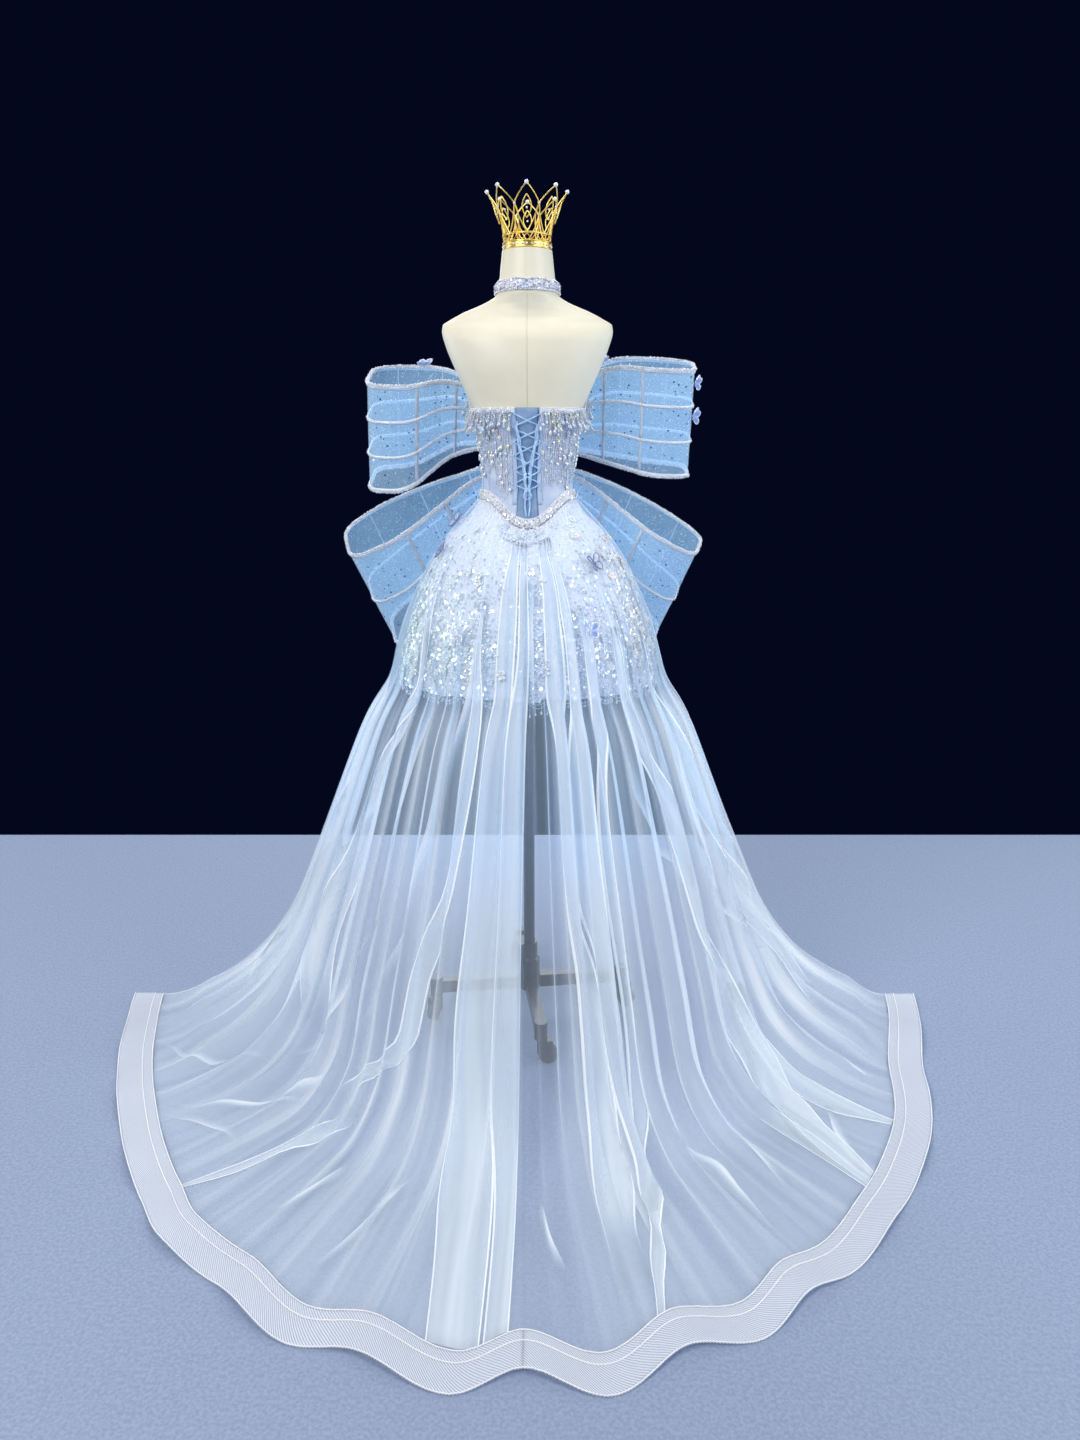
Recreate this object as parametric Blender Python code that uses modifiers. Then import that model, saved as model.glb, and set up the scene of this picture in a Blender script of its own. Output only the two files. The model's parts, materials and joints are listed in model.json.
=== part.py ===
"""Mini prom dress with a sheer train and a four-loop bow, on a limbless dress form and rolling stand.

Metres, +Z up. The train trails towards +Y and the wearer's left is +X. Every piece is modelled about the
stand's pole and hangs from one empty, which puts the origin under the middle of the whole outline.
"""

import math

import bmesh
import bpy
from mathutils import Matrix, Vector

POLE_AT = (-0.0139, -0.3836, 0.0)

# Cloth thickness, the gap at seams and the gap between layers
BODICE_WALL = 0.002
SKIRT_WALL = 0.0016
TULLE_WALL = 0.0012
BRAID_WALL = 0.002
ORGANZA_WALL = 0.0014
SEAM = 0.0005
LAYER = 0.0006
FORM_CLEARANCE = 0.0014
WAIST_RADIUS = 0.1

# Dress form
BUST_AT, BUST_APART, BUST_OUT, BUST_WIDE, BUST_TALL = 1.472, 0.124, 0.016, 0.046, 0.050

# Stand and casters
POLE_RADIUS = 0.0135
FLANGE_RADIUS, FLANGE_THICK = 0.042, 0.006
HUB_LOW, HUB_STEP, HUB_TOP = 0.064, 0.150, 0.192
HUB_RADIUS, HUB_NECK_RADIUS = 0.026, 0.0205
LEG_WIDE, LEG_LOW, LEG_TOP, LEG_REACH = 0.026, 0.068, 0.100, 0.236
LEG_BOSS_RADIUS, LEG_BOSS_LOW, LEG_BOSS_TOP = 0.0155, 0.0625, 0.107
LEG_TURN = 7.0
CASTER_AT, CASTER_TRAIL = 0.236, 0.018
CASTER_TRAIL_TURNS = (70.0, 188.0, 150.0, -60.0)
WHEEL_RADIUS, WHEEL_WIDE, WHEEL_SIDES = 0.022, 0.017, 18
AXLE_AT = WHEEL_RADIUS * math.cos(math.pi / WHEEL_SIDES)
AXLE_RADIUS, AXLE_PLAY = 0.0034, 0.0003
STEM_RADIUS, STEM_PLAY, STEM_TOP = 0.0048, 0.0005, 0.086
FORK_CHEEK, FORK_PLAY, FORK_TOP, FORK_PLATE = 0.003, 0.0008, 0.0600, 0.006
FORK_LENGTH, FORK_MIDDLE, FORK_LOW = 0.034, 0.0099, 0.015
POLE_PLAY = 0.0004
CLAMP_SIZE, CLAMP_AT, CLAMP_TURN = (0.016, 0.012, 0.052), (0.0255, 0.0, 0.168), 45.0

# Finial on the neck
NECK_TOP = 1.794
FINIAL_BAND_RADIUS, FINIAL_BAND_HIGH = 0.050, 0.014
FINIAL_RING_AT, FINIAL_RING_RADIUS = 1.823, 0.0500
FINIAL_VALLEY_AT, FINIAL_VALLEY_RADIUS = 1.875, 0.066
FINIAL_TIP_AT, FINIAL_TIP_RADIUS = 1.9085, 0.084
FINIAL_POINTS = 8
FINIAL_WIRE, FINIAL_PEARL = 0.0036, 0.0048
FINIAL_POST_RADIUS, FINIAL_POST_LONG, FINIAL_POST_INSET = 0.0032, 0.019, 0.0022

# Skirt, waistband and bodice edges
WAIST_AT, WAIST_DIP, WAIST_DIP_HALF = 1.305, 0.060, 0.088
WAISTBAND_HIGH, WAISTBAND_WALL = 0.020, 0.0030
SKIRT_HEM_SIDE, SKIRT_HEM_BACK, SCALLOP = 0.882, 0.893, 0.009
SKIRT_FOLDS, SCALLOPS, SKIRT_ROWS = 18, 18, 4
SKIRT_SWELL, SKIRT_FOLD, SKIRT_CELLS = 0.22, 0.0045, 36
PRESSED_BACK, PRESSED_FRONT = 0.04, 0.08
HEADING = 0.0016
BODICE_ROWS = (1.218, 1.260, 1.314, 1.390, 1.432)
BODICE_RIDGE, BODICE_RIDGE_SHARE, BODICE_BACK_TOP = 1.475, 0.65, 1.476
BODICE_CUP_TOP, BODICE_DIP, BODICE_DIP_WIDE, BODICE_RISE = 1.535, 0.040, 0.030, 1.6

# Crystal fringe: its strip's edges under the neckline, and its strings' length, lean and thickness
FRINGE_STRIP, FRINGE_LOW, FRINGE_HIGH = 0.002, 0.012, 0.002
STRING_LONG, STRING_VARIES, STRING_BITE = 0.030, 0.012, 0.0004
STRING_LEAN, STRING_LEAN_VARIES = 0.34, 0.10
STRING_THIN, STRING_THICK = 0.0013, 0.0026

# Back lacing
LACING_LEFT, LACING_RIGHT, PANEL_CELLS = 79.0, 101.0, 3
PANEL_CLEARANCE, PANEL_WALL = 0.0010, 0.0012
LACE_TOP, LACE_LOW, LACE_CROSSINGS = 1.464, 1.318, 5
LACE_RADIUS, LACE_LIFT, LACE_PAST_EDGE, LACE_OVER = 0.0016, 0.0062, 2.5, (0.0002, 0.0026)
LACE_KNOT, LACE_KNOT_AT, LACE_KNOT_OUT = (0.0075, 0.0046, 0.0090), 1.306, 0.0078
TAIL_END, TAIL_RISE, TAIL_STEPS, TAIL_APART, TAIL_SWING = 1.251, 0.0005, 6, 0.0024, 1.2

# Train and its braid
TRAIN_FROM, TRAIN_TO = -3.0, 183.0
TRAIN_FOLDS, FOLD_SLIVER = 18, 0.3
BRAID_WIDE, BRAID_SEAM, BRAID_RADIUS = 0.078, 0.0010, 1.0
BRAID_RISE, LOBE_AT, LOBE_EVERY = 0.010, 84.0, 13.5
BRAID_INNER_RISE, BRAID_END_INNER, BRAID_END_OUTER = 0.35, 0.010, 0.003

# Bow
LOOPS_Y, KNOT_Y, KNOT_HALF_WIDE, KNOT_HALF_DEEP = -0.1345, -0.1312, 0.040, 0.0327
KNOT_LOW, KNOT_TOP, KNOT_WALL = 1.3238, 1.4427, 0.003
KNOT_SQUARENESS, KNOT_SWELL, KNOT_CELLS = 5.0, 0.10, 20
LOOP_START, LOOP_IN_KNOT = 0.006, 0.021
TAPE_HALF, TAPE_STEP, TAPE_WALL = 0.0034, 0.0075, 0.0022

# Choker
CHOKER_LOW, CHOKER_TILT, CHOKER_HIGH, CHOKER_SCALLOP = 1.7095, 0.0025, 0.020, 0.0035
CHOKER_CLEARANCE, CHOKER_WALL, CHOKER_CELLS, CHOKER_WAVES = 0.0012, 0.0024, 32, 8

# Butterflies: half of one's outline in shares of its size, and how it sits on its carrier
WING = ((0.0, 0.30), (0.55, 0.95), (1.0, 0.85), (0.55, 0.08), (0.75, -0.55), (0.30, -0.80), (0.0, -0.34))
WING_RISE, WING_WALL, PERCH = 0.36, 0.0011, 0.0007


class Table:
    """Rows of sizes under named columns, read between rows by a curve that never overshoots."""

    def __init__(self, columns, rows):
        self.columns = columns.split()
        self.rows = rows
        self.keys = [row[0] for row in rows]

    def column(self, name):
        place = self.columns.index(name)
        return [row[place] for row in self.rows]

    def at(self, key, name):
        return smooth_through(self.keys, self.column(name), key)


FORM = Table(
    "height half_width front back roundness",
    (
        (1.050, 0.150, 0.100, 0.112, 2.2),
        (1.125, 0.152, 0.102, 0.118, 2.2),
        (1.200, 0.134, 0.094, 0.104, 2.2),
        (1.260, 0.112, 0.084, 0.089, 2.1),
        (1.314, 0.0965, 0.078, 0.078, 2.1),
        (1.390, 0.1025, 0.086, 0.078, 2.1),
        (1.432, 0.108, 0.092, 0.081, 2.1),
        (1.475, 0.120, 0.097, 0.085, 2.1),
        (1.515, 0.138, 0.094, 0.088, 2.1),
        (1.555, 0.156, 0.088, 0.090, 2.1),
        (1.609, 0.178, 0.075, 0.086, 2.1),
        (1.634, 0.184, 0.066, 0.076, 2.0),
        (1.648, 0.182, 0.055, 0.065, 1.8),
        (1.659, 0.165, 0.050, 0.058, 1.5),
        (1.673, 0.138, 0.051, 0.056, 1.4),
        (1.685, 0.108, 0.054, 0.058, 1.4),
        (1.695, 0.085, 0.058, 0.060, 1.6),
        (1.706, 0.068, 0.060, 0.062, 1.9),
        (1.722, 0.062, 0.059, 0.060, 2.0),
        (1.794, 0.0530, 0.0530, 0.0530, 2.0),
    ),
)

SKIRT = Table(
    "height radius",
    (
        (0.880, 0.296),
        (0.938, 0.289),
        (1.009, 0.268),
        (1.056, 0.250),
        (1.124, 0.224),
        (1.181, 0.190),
        (1.237, 0.155),
        (1.285, 0.116),
        (1.310, 0.106),
    ),
)

# The train's shape down from the waist: at its free edge, on the diagonal and at centre back. Its first
# rows are the skirt's own, "clear" off it, and "out" and "lift" are the depth of the folds.
DRAPE = Table(
    "row edge_r edge_z mid_r mid_z back_r back_z clear out lift",
    (
        (0, 0.000, 0.000, 0.000, 0.000, 0.000, 0.000, 0.0040, 0.000, 0.000),
        (1, 0.000, 0.000, 0.000, 0.000, 0.000, 0.000, 0.0085, 0.003, 0.000),
        (2, 0.000, 0.000, 0.000, 0.000, 0.000, 0.000, 0.0115, 0.005, 0.000),
        (3, 0.000, 0.000, 0.000, 0.000, 0.000, 0.000, 0.0145, 0.007, 0.000),
        (4, 0.000, 0.000, 0.000, 0.000, 0.000, 0.000, 0.0175, 0.010, 0.000),
        (5, 0.372, 0.785, 0.356, 0.785, 0.345, 0.785, 0.0000, 0.014, 0.000),
        (6, 0.492, 0.480, 0.455, 0.480, 0.440, 0.460, 0.0000, 0.020, 0.000),
        (7, 0.590, 0.268, 0.515, 0.285, 0.512, 0.255, 0.0000, 0.019, 0.002),
        (8, 0.700, 0.135, 0.570, 0.105, 0.592, 0.080, 0.0000, 0.013, 0.010),
        (9, 0.830, 0.052, 0.690, 0.010, 0.750, 0.008, 0.0000, 0.004, 0.016),
        (10, 0.965, 0.014, 0.925, 0.004, 0.985, 0.004, 0.0000, 0.000, 0.006),
    ),
)
LAST_ROW = 10

GORES = Table(
    "low high name",
    (
        (TRAIN_FROM, 45.0, "left_side"),
        (45.0, 90.0, "left_back"),
        (90.0, 135.0, "right_back"),
        (135.0, TRAIN_TO, "right_side"),
    ),
)

# The hem's reach over the floor, with a lobe at each wave of its stiff braid.
HEM = Table(
    "turn radius",
    (
        (-4.0, 1.040),
        (10.0, 0.998),
        (25.0, 0.984),
        (43.0, 1.008),
        (50.0, 1.031),
        (59.0, 1.035),
        (69.0, 1.077),
        (74.5, 1.058),
        (84.0, 1.102),
        (90.0, 1.059),
        (97.0, 1.107),
        (105.0, 1.050),
        (111.0, 1.071),
        (119.0, 1.030),
        (123.0, 1.036),
        (134.0, 1.009),
        (152.0, 0.979),
        (164.0, 0.955),
        (184.0, 1.012),
    ),
)

# One bow loop seen along its width: from the knot out along the panel next to the wearer's back, round
# the outer turn and home along the front panel. Depth is a share of the loop's own depth on that side,
# and a snug loop keeps close to its front panel until past the wearer's side.
LOOP_PLAN = Table(
    "path along depth snug",
    (
        (-1.00, 0.00, 0.08, 0.08),
        (-0.86, 0.12, 0.09, 0.09),
        (-0.68, 0.30, 0.20, 0.10),
        (-0.48, 0.52, 0.66, 0.38),
        (-0.27, 0.76, 1.00, 1.00),
        (-0.12, 0.93, 0.86, 0.92),
        (-0.04, 0.99, 0.42, 0.46),
        (0.04, 0.99, -0.42, -0.42),
        (0.12, 0.94, -0.84, -0.84),
        (0.27, 0.78, -1.00, -1.00),
        (0.48, 0.54, -0.78, -0.78),
        (0.68, 0.31, -0.40, -0.40),
        (0.86, 0.12, -0.22, -0.22),
        (1.00, 0.00, -0.20, -0.20),
    ),
)
# How much of its full reach up and down the band has on its way out of the knot.
LOOP_REACH = Table(
    "along up down_0 down_1 down_2 down_3",
    (
        (0.00, 0.00, 0.00, 0.00, 0.00, 0.00),
        (0.12, 0.00, 0.00, 0.00, 0.00, 0.00),
        (0.28, 0.55, 0.00, 0.13, 0.30, 0.30),
        (0.45, 0.93, 0.12, 0.43, 0.52, 0.52),
        (0.60, 1.00, 0.52, 0.70, 0.70, 0.70),
        (0.70, 1.00, 0.82, 0.89, 0.82, 0.82),
        (0.82, 1.00, 0.98, 1.00, 0.94, 0.94),
        (1.00, 1.00, 1.00, 1.00, 1.00, 1.00),
    ),
)
LOOPS = Table(
    "number side start_z drop lean tilt length near far up down rows depth grip",
    (
        (0, 1, 1.4140, -0.3, -4.0, 18.0, 0.364, 0.095, 0.080, 0.144, 0.096, 3, "snug", 0.0210),
        (1, -1, 1.4140, 3.2, -0.7, 18.0, 0.373, 0.039, 0.058, 0.184, 0.058, 3, "depth", 0.0227),
        (2, 1, 1.3680, 27.6, 18.8, 30.5, 0.477, 0.085, 0.080, 0.030, 0.262, 2, "depth", 0.0210),
        (3, -1, 1.3680, 31.1, 18.0, 33.0, 0.457, 0.058, 0.048, 0.044, 0.259, 2, "depth", 0.0210),
    ),
)
ON_TRAIN = Table(
    "turn share size roll material",
    (
        (8.0, 0.948, 0.021, 4.0, "blue"),
        (22.0, 0.888, 0.021, -25.0, "blue"),
        (59.0, 0.730, 0.020, 10.0, "white"),
        (132.0, 0.874, 0.019, 15.0, "blue"),
        (118.0, 0.744, 0.018, -10.0, "blue"),
    ),
)
ON_BOW = Table(
    "loop path share size",
    (
        (0, 0.36, 1.0, 0.016),
        (1, -0.03, 0.87, 0.015),
        (1, -0.03, 0.56, 0.017),
        (1, 0.56, 1.0, 0.017),
    ),
)
LOOP_NAMES = ("upper_left", "upper_right", "lower_left", "lower_right")
PANELS = Table(
    "low high cells name",
    (
        (-157.5, -112.5, 5, "front_right"),
        (-112.5, -67.5, 6, "front_centre"),
        (-67.5, -22.5, 5, "front_left"),
        (-22.5, 33.75, 5, "side_left"),
        (33.75, 79.0, 5, "back_left"),
        (101.0, 146.25, 5, "back_right"),
        (146.25, 202.5, 5, "side_right"),
    ),
)
CROSS_TAPES = (-0.74, -0.54, -0.34, 0.22, 0.47, 0.70)
LOOP_STOPS = (-1.0, -0.86, -0.16, -0.09, -0.03, 0.03, 0.09, 0.16, 0.345, 0.86, 1.0)


def smooth_through(keys, values, key):
    if key <= keys[0]:
        return values[0]
    if key >= keys[-1]:
        return values[-1]
    last = len(keys) - 1
    step = max(index for index in range(last) if keys[index] <= key)
    grade = [(values[n + 1] - values[n]) / (keys[n + 1] - keys[n]) for n in range(last)]

    def slope(index):
        if index in (0, last):
            return grade[min(index, last - 1)]
        before, after = grade[index - 1], grade[index]
        return 2 * before * after / (before + after) if before * after > 0 else 0.0

    span = keys[step + 1] - keys[step]
    part = (key - keys[step]) / span
    rise = part * part * (3 - 2 * part)
    start = part * (1 - part) ** 2 * span * slope(step)
    end = part * part * (part - 1) * span * slope(step + 1)
    return values[step] + rise * (values[step + 1] - values[step]) + start + end


def ease(part):
    part = min(1.0, max(0.0, part))
    return part * part * (3 - 2 * part)


def between(low, high, part):
    return low + (high - low) * part


def heading(turn):
    angle = math.radians(turn)
    return Vector((math.cos(angle), math.sin(angle), 0.0))


def on_facet(steps, key, place):
    """A point on the straight line between the two steps that a key lies between, and the line's direction."""
    low = max(step for step in steps if step <= key)
    high = min(step for step in steps if step > key)
    start, end = place(low), place(high)
    return start.lerp(end, (key - low) / (high - low)), (end - start).normalized()


def spread(low, high, cells):
    return [between(low, high, cell / cells) for cell in range(cells + 1)]


# Finishes

def finish(name, colour, roughness, metallic=0.0, clearness=0.0):
    material = bpy.data.materials.new(name)
    material.use_nodes = True
    shader = material.node_tree.nodes["Principled BSDF"]
    shader.inputs["Base Color"].default_value = (*colour, 1.0)
    shader.inputs["Roughness"].default_value = roughness
    shader.inputs["Metallic"].default_value = metallic
    shader.inputs["Alpha"].default_value = 1.0 - clearness
    return material


# Adding pieces to the collection

def clear_scene():
    for thing in list(bpy.data.objects):
        bpy.data.objects.remove(thing, do_unlink=True)


def collection(name):
    made = bpy.data.collections.new(name)
    bpy.context.scene.collection.children.link(made)
    return made


def add_mesh(name, bm, material, smooth_angle=40.0):
    mesh = bpy.data.meshes.new(name)
    bm.to_mesh(mesh)
    bm.free()
    mesh.materials.append(material)
    mesh.shade_smooth()
    mesh.set_sharp_from_angle(angle=math.radians(smooth_angle))
    thing = bpy.data.objects.new(name, mesh)
    DRESS.objects.link(thing)
    thing.parent = ROOT
    return thing


def thicken(thing, wall):
    shell = thing.modifiers.new("wall", "SOLIDIFY")
    shell.thickness = wall
    shell.offset = 1.0
    shell.use_even_offset = True
    shell.use_quality_normals = True


def join_with(thing, other, operation="UNION"):
    cut = thing.modifiers.new(other.name, "BOOLEAN")
    cut.operation = operation
    cut.solver = "EXACT"
    cut.object = other
    other.hide_render = True
    other.display_type = "WIRE"
    DRESS.objects.unlink(other)
    HELPERS.objects.link(other)


def grid(place, across, up, keep=None):
    """A grid whose cells run between the given steps across and up, put in place by a function of both."""
    bm = bmesh.new()
    columns, rows = len(across) - 1, len(up) - 1
    bmesh.ops.create_grid(bm, x_segments=columns, y_segments=rows, size=0.5)
    bm.faces.ensure_lookup_table()
    if keep:
        spare = [
            face
            for face in bm.faces
            if not keep(*cell_of(face.calc_center_median(), columns, rows))
        ]
        bmesh.ops.delete(bm, geom=spare, context="FACES")
    for vertex in bm.verts:
        column = round((vertex.co.x + 0.5) * columns)
        row = round((vertex.co.y + 0.5) * rows)
        vertex.co = place(across[column], up[row])
    bmesh.ops.triangulate(bm, faces=bm.faces, quad_method="ALTERNATE")
    return bm


def cell_of(centre, columns, rows):
    return int((centre.x + 0.5) * columns), int((centre.y + 0.5) * rows)


def cloth(name, place, across, up, wall, material, flip=False, keep=None):
    """A cloth wall: its inner face is the grid, and its thickness stands outward."""
    bm = grid(place, across, up, keep)
    if flip:
        bmesh.ops.reverse_faces(bm, faces=bm.faces)
    thing = add_mesh(name, bm, material)
    thicken(thing, wall)
    return thing


# Dress form

def form_ring(angle, height):
    part = 2.0 / FORM.at(height, "roundness")
    cosine, sine = math.cos(angle), math.sin(angle)
    depth = FORM.at(height, "back" if sine > 0 else "front")
    x = FORM.at(height, "half_width") * math.copysign(abs(cosine) ** part, cosine)
    y = depth * math.copysign(abs(sine) ** part, sine)
    if sine < 0:
        side = (abs(x) - BUST_APART / 2) / BUST_WIDE
        rise = (height - BUST_AT) / BUST_TALL
        y -= BUST_OUT * math.exp(-side * side - rise * rise) * abs(sine)
    return Vector((x, y, height))


def form_point(turn, height, out=0.0):
    """A point of the form's skin between its rings, moved outward level; turn 0 is the wearer's left."""
    below = [ring for ring in FORM.keys[1:-1] if ring <= height]
    low = below[-1] if below else FORM.keys[0]
    high = FORM.keys[FORM.keys.index(low) + 1]
    share = (height - low) / (high - low)

    def skin(angle):
        return form_ring(angle, low).lerp(form_ring(angle, high), share)

    angle = math.radians(turn)
    point = skin(angle)
    if out:
        along = skin(angle + 0.01) - skin(angle - 0.01)
        point += Vector((along.y, -along.x, 0.0)).normalized() * out
    return point


def stations():
    """The turns that the form and all that lies on it share, once round from the lacing."""
    turns = spread(LACING_LEFT, LACING_RIGHT, PANEL_CELLS)
    for low_turn, high_turn, cells, _ in PANELS.rows:
        turns += spread(low_turn, high_turn, cells)
    return sorted({round(turn % 360, 4) for turn in turns})


def form_torso():
    turns = stations()
    turns.append(turns[0] + 360)
    bm = grid(form_point, turns, FORM.keys)
    bmesh.ops.remove_doubles(bm, verts=bm.verts, dist=1e-6)
    rims = [edge for edge in bm.edges if edge.is_boundary]
    caps = bmesh.ops.holes_fill(bm, edges=rims, sides=0)["faces"]
    bmesh.ops.recalc_face_normals(bm, faces=bm.faces)
    bmesh.ops.triangulate(bm, faces=caps)
    return add_mesh("form_torso", bm, IVORY)


def turned(name, profile, material, sides=18, at=(0.0, 0.0, 0.0)):
    """A solid of revolution from a profile of (radius, height) points that runs down its outer side."""
    bm = bmesh.new()
    points = [bm.verts.new((radius, 0.0, height)) for radius, height in profile]
    ends = list(zip(points, points[1:]))
    if profile[0][0] > 0 and profile[-1][0] > 0:
        ends.append((points[-1], points[0]))
    for start, end in ends:
        bm.edges.new((start, end))
    thing = add_mesh(name, bm, material)
    screw = thing.modifiers.new("turn", "SCREW")
    screw.steps = screw.render_steps = sides
    screw.use_merge_vertices = True
    screw.merge_threshold = 1e-5
    thing.location = at
    return thing


def cord(name, points, radius, material, sides=2):
    """A round cord through the points."""
    line = bpy.data.curves.new(name, "CURVE")
    line.dimensions = "3D"
    line.bevel_depth = radius
    line.bevel_resolution = sides
    line.use_fill_caps = True
    line.materials.append(material)
    run = line.splines.new("POLY")
    run.points.add(len(points) - 1)
    for point, place in zip(run.points, points):
        point.co = (*place, 1.0)
    thing = bpy.data.objects.new(name, line)
    DRESS.objects.link(thing)
    thing.parent = ROOT
    return thing


def tube(name, points, radius, material):
    """A four-sided cord through the points, made a mesh with its caps welded, so that it can be joined."""
    guide = cord(name + "_line", points, radius, material, sides=0)
    guide.parent = None
    bpy.context.view_layer.update()
    graph = bpy.context.evaluated_depsgraph_get()
    mesh = bpy.data.meshes.new_from_object(guide.evaluated_get(graph))
    bpy.data.objects.remove(guide, do_unlink=True)
    bm = bmesh.new()
    bm.from_mesh(mesh)
    bmesh.ops.remove_doubles(bm, verts=bm.verts, dist=1e-6)
    bmesh.ops.recalc_face_normals(bm, faces=bm.faces)
    return add_mesh(name, bm, material)


def round_place(step, radius, height):
    return heading(90 + 360 * step / FINIAL_POINTS) * radius + Vector((0.0, 0.0, height))


def finial_lattice():
    """Wires round eight kites that stand on a ring, each meeting its neighbours at a valley."""
    bm = bmesh.new()
    steps = range(FINIAL_POINTS)
    ring = [
        bm.verts.new(round_place(step / 2, FINIAL_RING_RADIUS, FINIAL_RING_AT))
        for step in range(2 * FINIAL_POINTS)
    ]
    dips = [bm.verts.new(round_place(step + 0.5, FINIAL_VALLEY_RADIUS, FINIAL_VALLEY_AT)) for step in steps]
    tips = [bm.verts.new(round_place(step, FINIAL_TIP_RADIUS, FINIAL_TIP_AT)) for step in steps]
    for step in steps:
        foot = 2 * step
        base = [ring[(foot + part) % len(ring)] for part in range(3)]
        bm.faces.new([*base, dips[step]])
        bm.faces.new([ring[foot], dips[step], tips[step], dips[step - 1]])
    bmesh.ops.recalc_face_normals(bm, faces=bm.faces)
    lattice = add_mesh("finial_lattice", bm, GOLD)
    wires = lattice.modifiers.new("wires", "WIREFRAME")
    wires.thickness = FINIAL_WIRE
    wires.use_boundary = True
    return lattice


def finial():
    """The gold crown on the form's neck: a band, a ring on posts and eight wire points with pearls."""
    low, top = NECK_TOP + 0.0003, NECK_TOP + FINIAL_BAND_HIGH
    radius = FINIAL_BAND_RADIUS
    crown = turned("form_finial", [(0.0, top), (radius, top), (radius, low), (0.0, low)], GOLD)
    posts, pearls = bmesh.new(), bmesh.new()
    for step in range(FINIAL_POINTS):
        middle = between(top, FINIAL_RING_AT, 0.5)
        foot = round_place(step + 0.5, FINIAL_RING_RADIUS - FINIAL_POST_INSET, middle)
        bmesh.ops.create_cone(
            posts,
            cap_ends=True,
            segments=5,
            radius1=FINIAL_POST_RADIUS,
            radius2=FINIAL_POST_RADIUS,
            depth=FINIAL_POST_LONG,
            matrix=Matrix.Translation(foot),
        )
        tip = round_place(step, FINIAL_TIP_RADIUS, FINIAL_TIP_AT)
        bmesh.ops.create_icosphere(
            pearls, subdivisions=1, radius=FINIAL_PEARL, matrix=Matrix.Translation(tip),
        )
    join_with(crown, add_mesh("finial_posts", posts, GOLD))
    join_with(crown, finial_lattice())
    join_with(crown, add_mesh("finial_pearls", pearls, GOLD))


# Stand

def block(name, size, centre, material, bevel=0.0, turn=0.0):
    bm = bmesh.new()
    bmesh.ops.create_cube(bm, size=1.0)
    bmesh.ops.scale(bm, vec=size, verts=bm.verts)
    bmesh.ops.translate(bm, vec=centre, verts=bm.verts)
    thing = add_mesh(name, bm, material)
    thing.rotation_euler.z = math.radians(turn)
    if bevel:
        edge = thing.modifiers.new("edges", "BEVEL")
        edge.width = bevel
        edge.segments = 2
    return thing


def stand_post():
    under_form = FORM.keys[0] - 0.0003
    plate = under_form - FLANGE_THICK
    turned(
        "stand_pole",
        [
            (0.0, under_form),
            (FLANGE_RADIUS, under_form),
            (FLANGE_RADIUS, plate),
            (POLE_RADIUS, plate),
            (POLE_RADIUS, HUB_LOW),
            (0.0, HUB_LOW),
        ],
        BLACK,
    )
    bore = POLE_RADIUS + POLE_PLAY
    hub = turned(
        "stand_hub",
        [
            (bore, HUB_TOP),
            (HUB_NECK_RADIUS, HUB_TOP),
            (HUB_NECK_RADIUS, HUB_STEP),
            (HUB_RADIUS, HUB_STEP - 0.006),
            (HUB_RADIUS, HUB_LOW),
            (bore, HUB_LOW),
        ],
        BLACK,
    )
    join_with(hub, block("hub_clamp", CLAMP_SIZE, CLAMP_AT, BLACK, turn=CLAMP_TURN))


def stand_leg(number, turn):
    inner = HUB_RADIUS + POLE_PLAY
    size = (LEG_REACH - inner, LEG_WIDE, LEG_TOP - LEG_LOW)
    centre = ((LEG_REACH + inner) / 2, 0.0, (LEG_TOP + LEG_LOW) / 2)
    leg = block(f"stand_leg_{number}", size, centre, BLACK, turn=turn)
    boss = turned(
        f"leg_boss_{number}",
        [
            (0.0, LEG_BOSS_TOP),
            (LEG_BOSS_RADIUS, LEG_BOSS_TOP),
            (LEG_BOSS_RADIUS, LEG_BOSS_LOW),
            (0.0, LEG_BOSS_LOW),
        ],
        BLACK,
        sides=12,
        at=heading(turn) * CASTER_AT,
    )
    socket = turned(
        f"leg_socket_{number}",
        [
            (0.0, STEM_TOP + STEM_PLAY),
            (STEM_RADIUS + STEM_PLAY, STEM_TOP + STEM_PLAY),
            (STEM_RADIUS + STEM_PLAY, LEG_BOSS_LOW - 0.01),
            (0.0, LEG_BOSS_LOW - 0.01),
        ],
        BLACK,
        sides=10,
        at=heading(turn) * CASTER_AT,
    )
    join_with(leg, boss)
    join_with(leg, socket, "DIFFERENCE")


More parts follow.
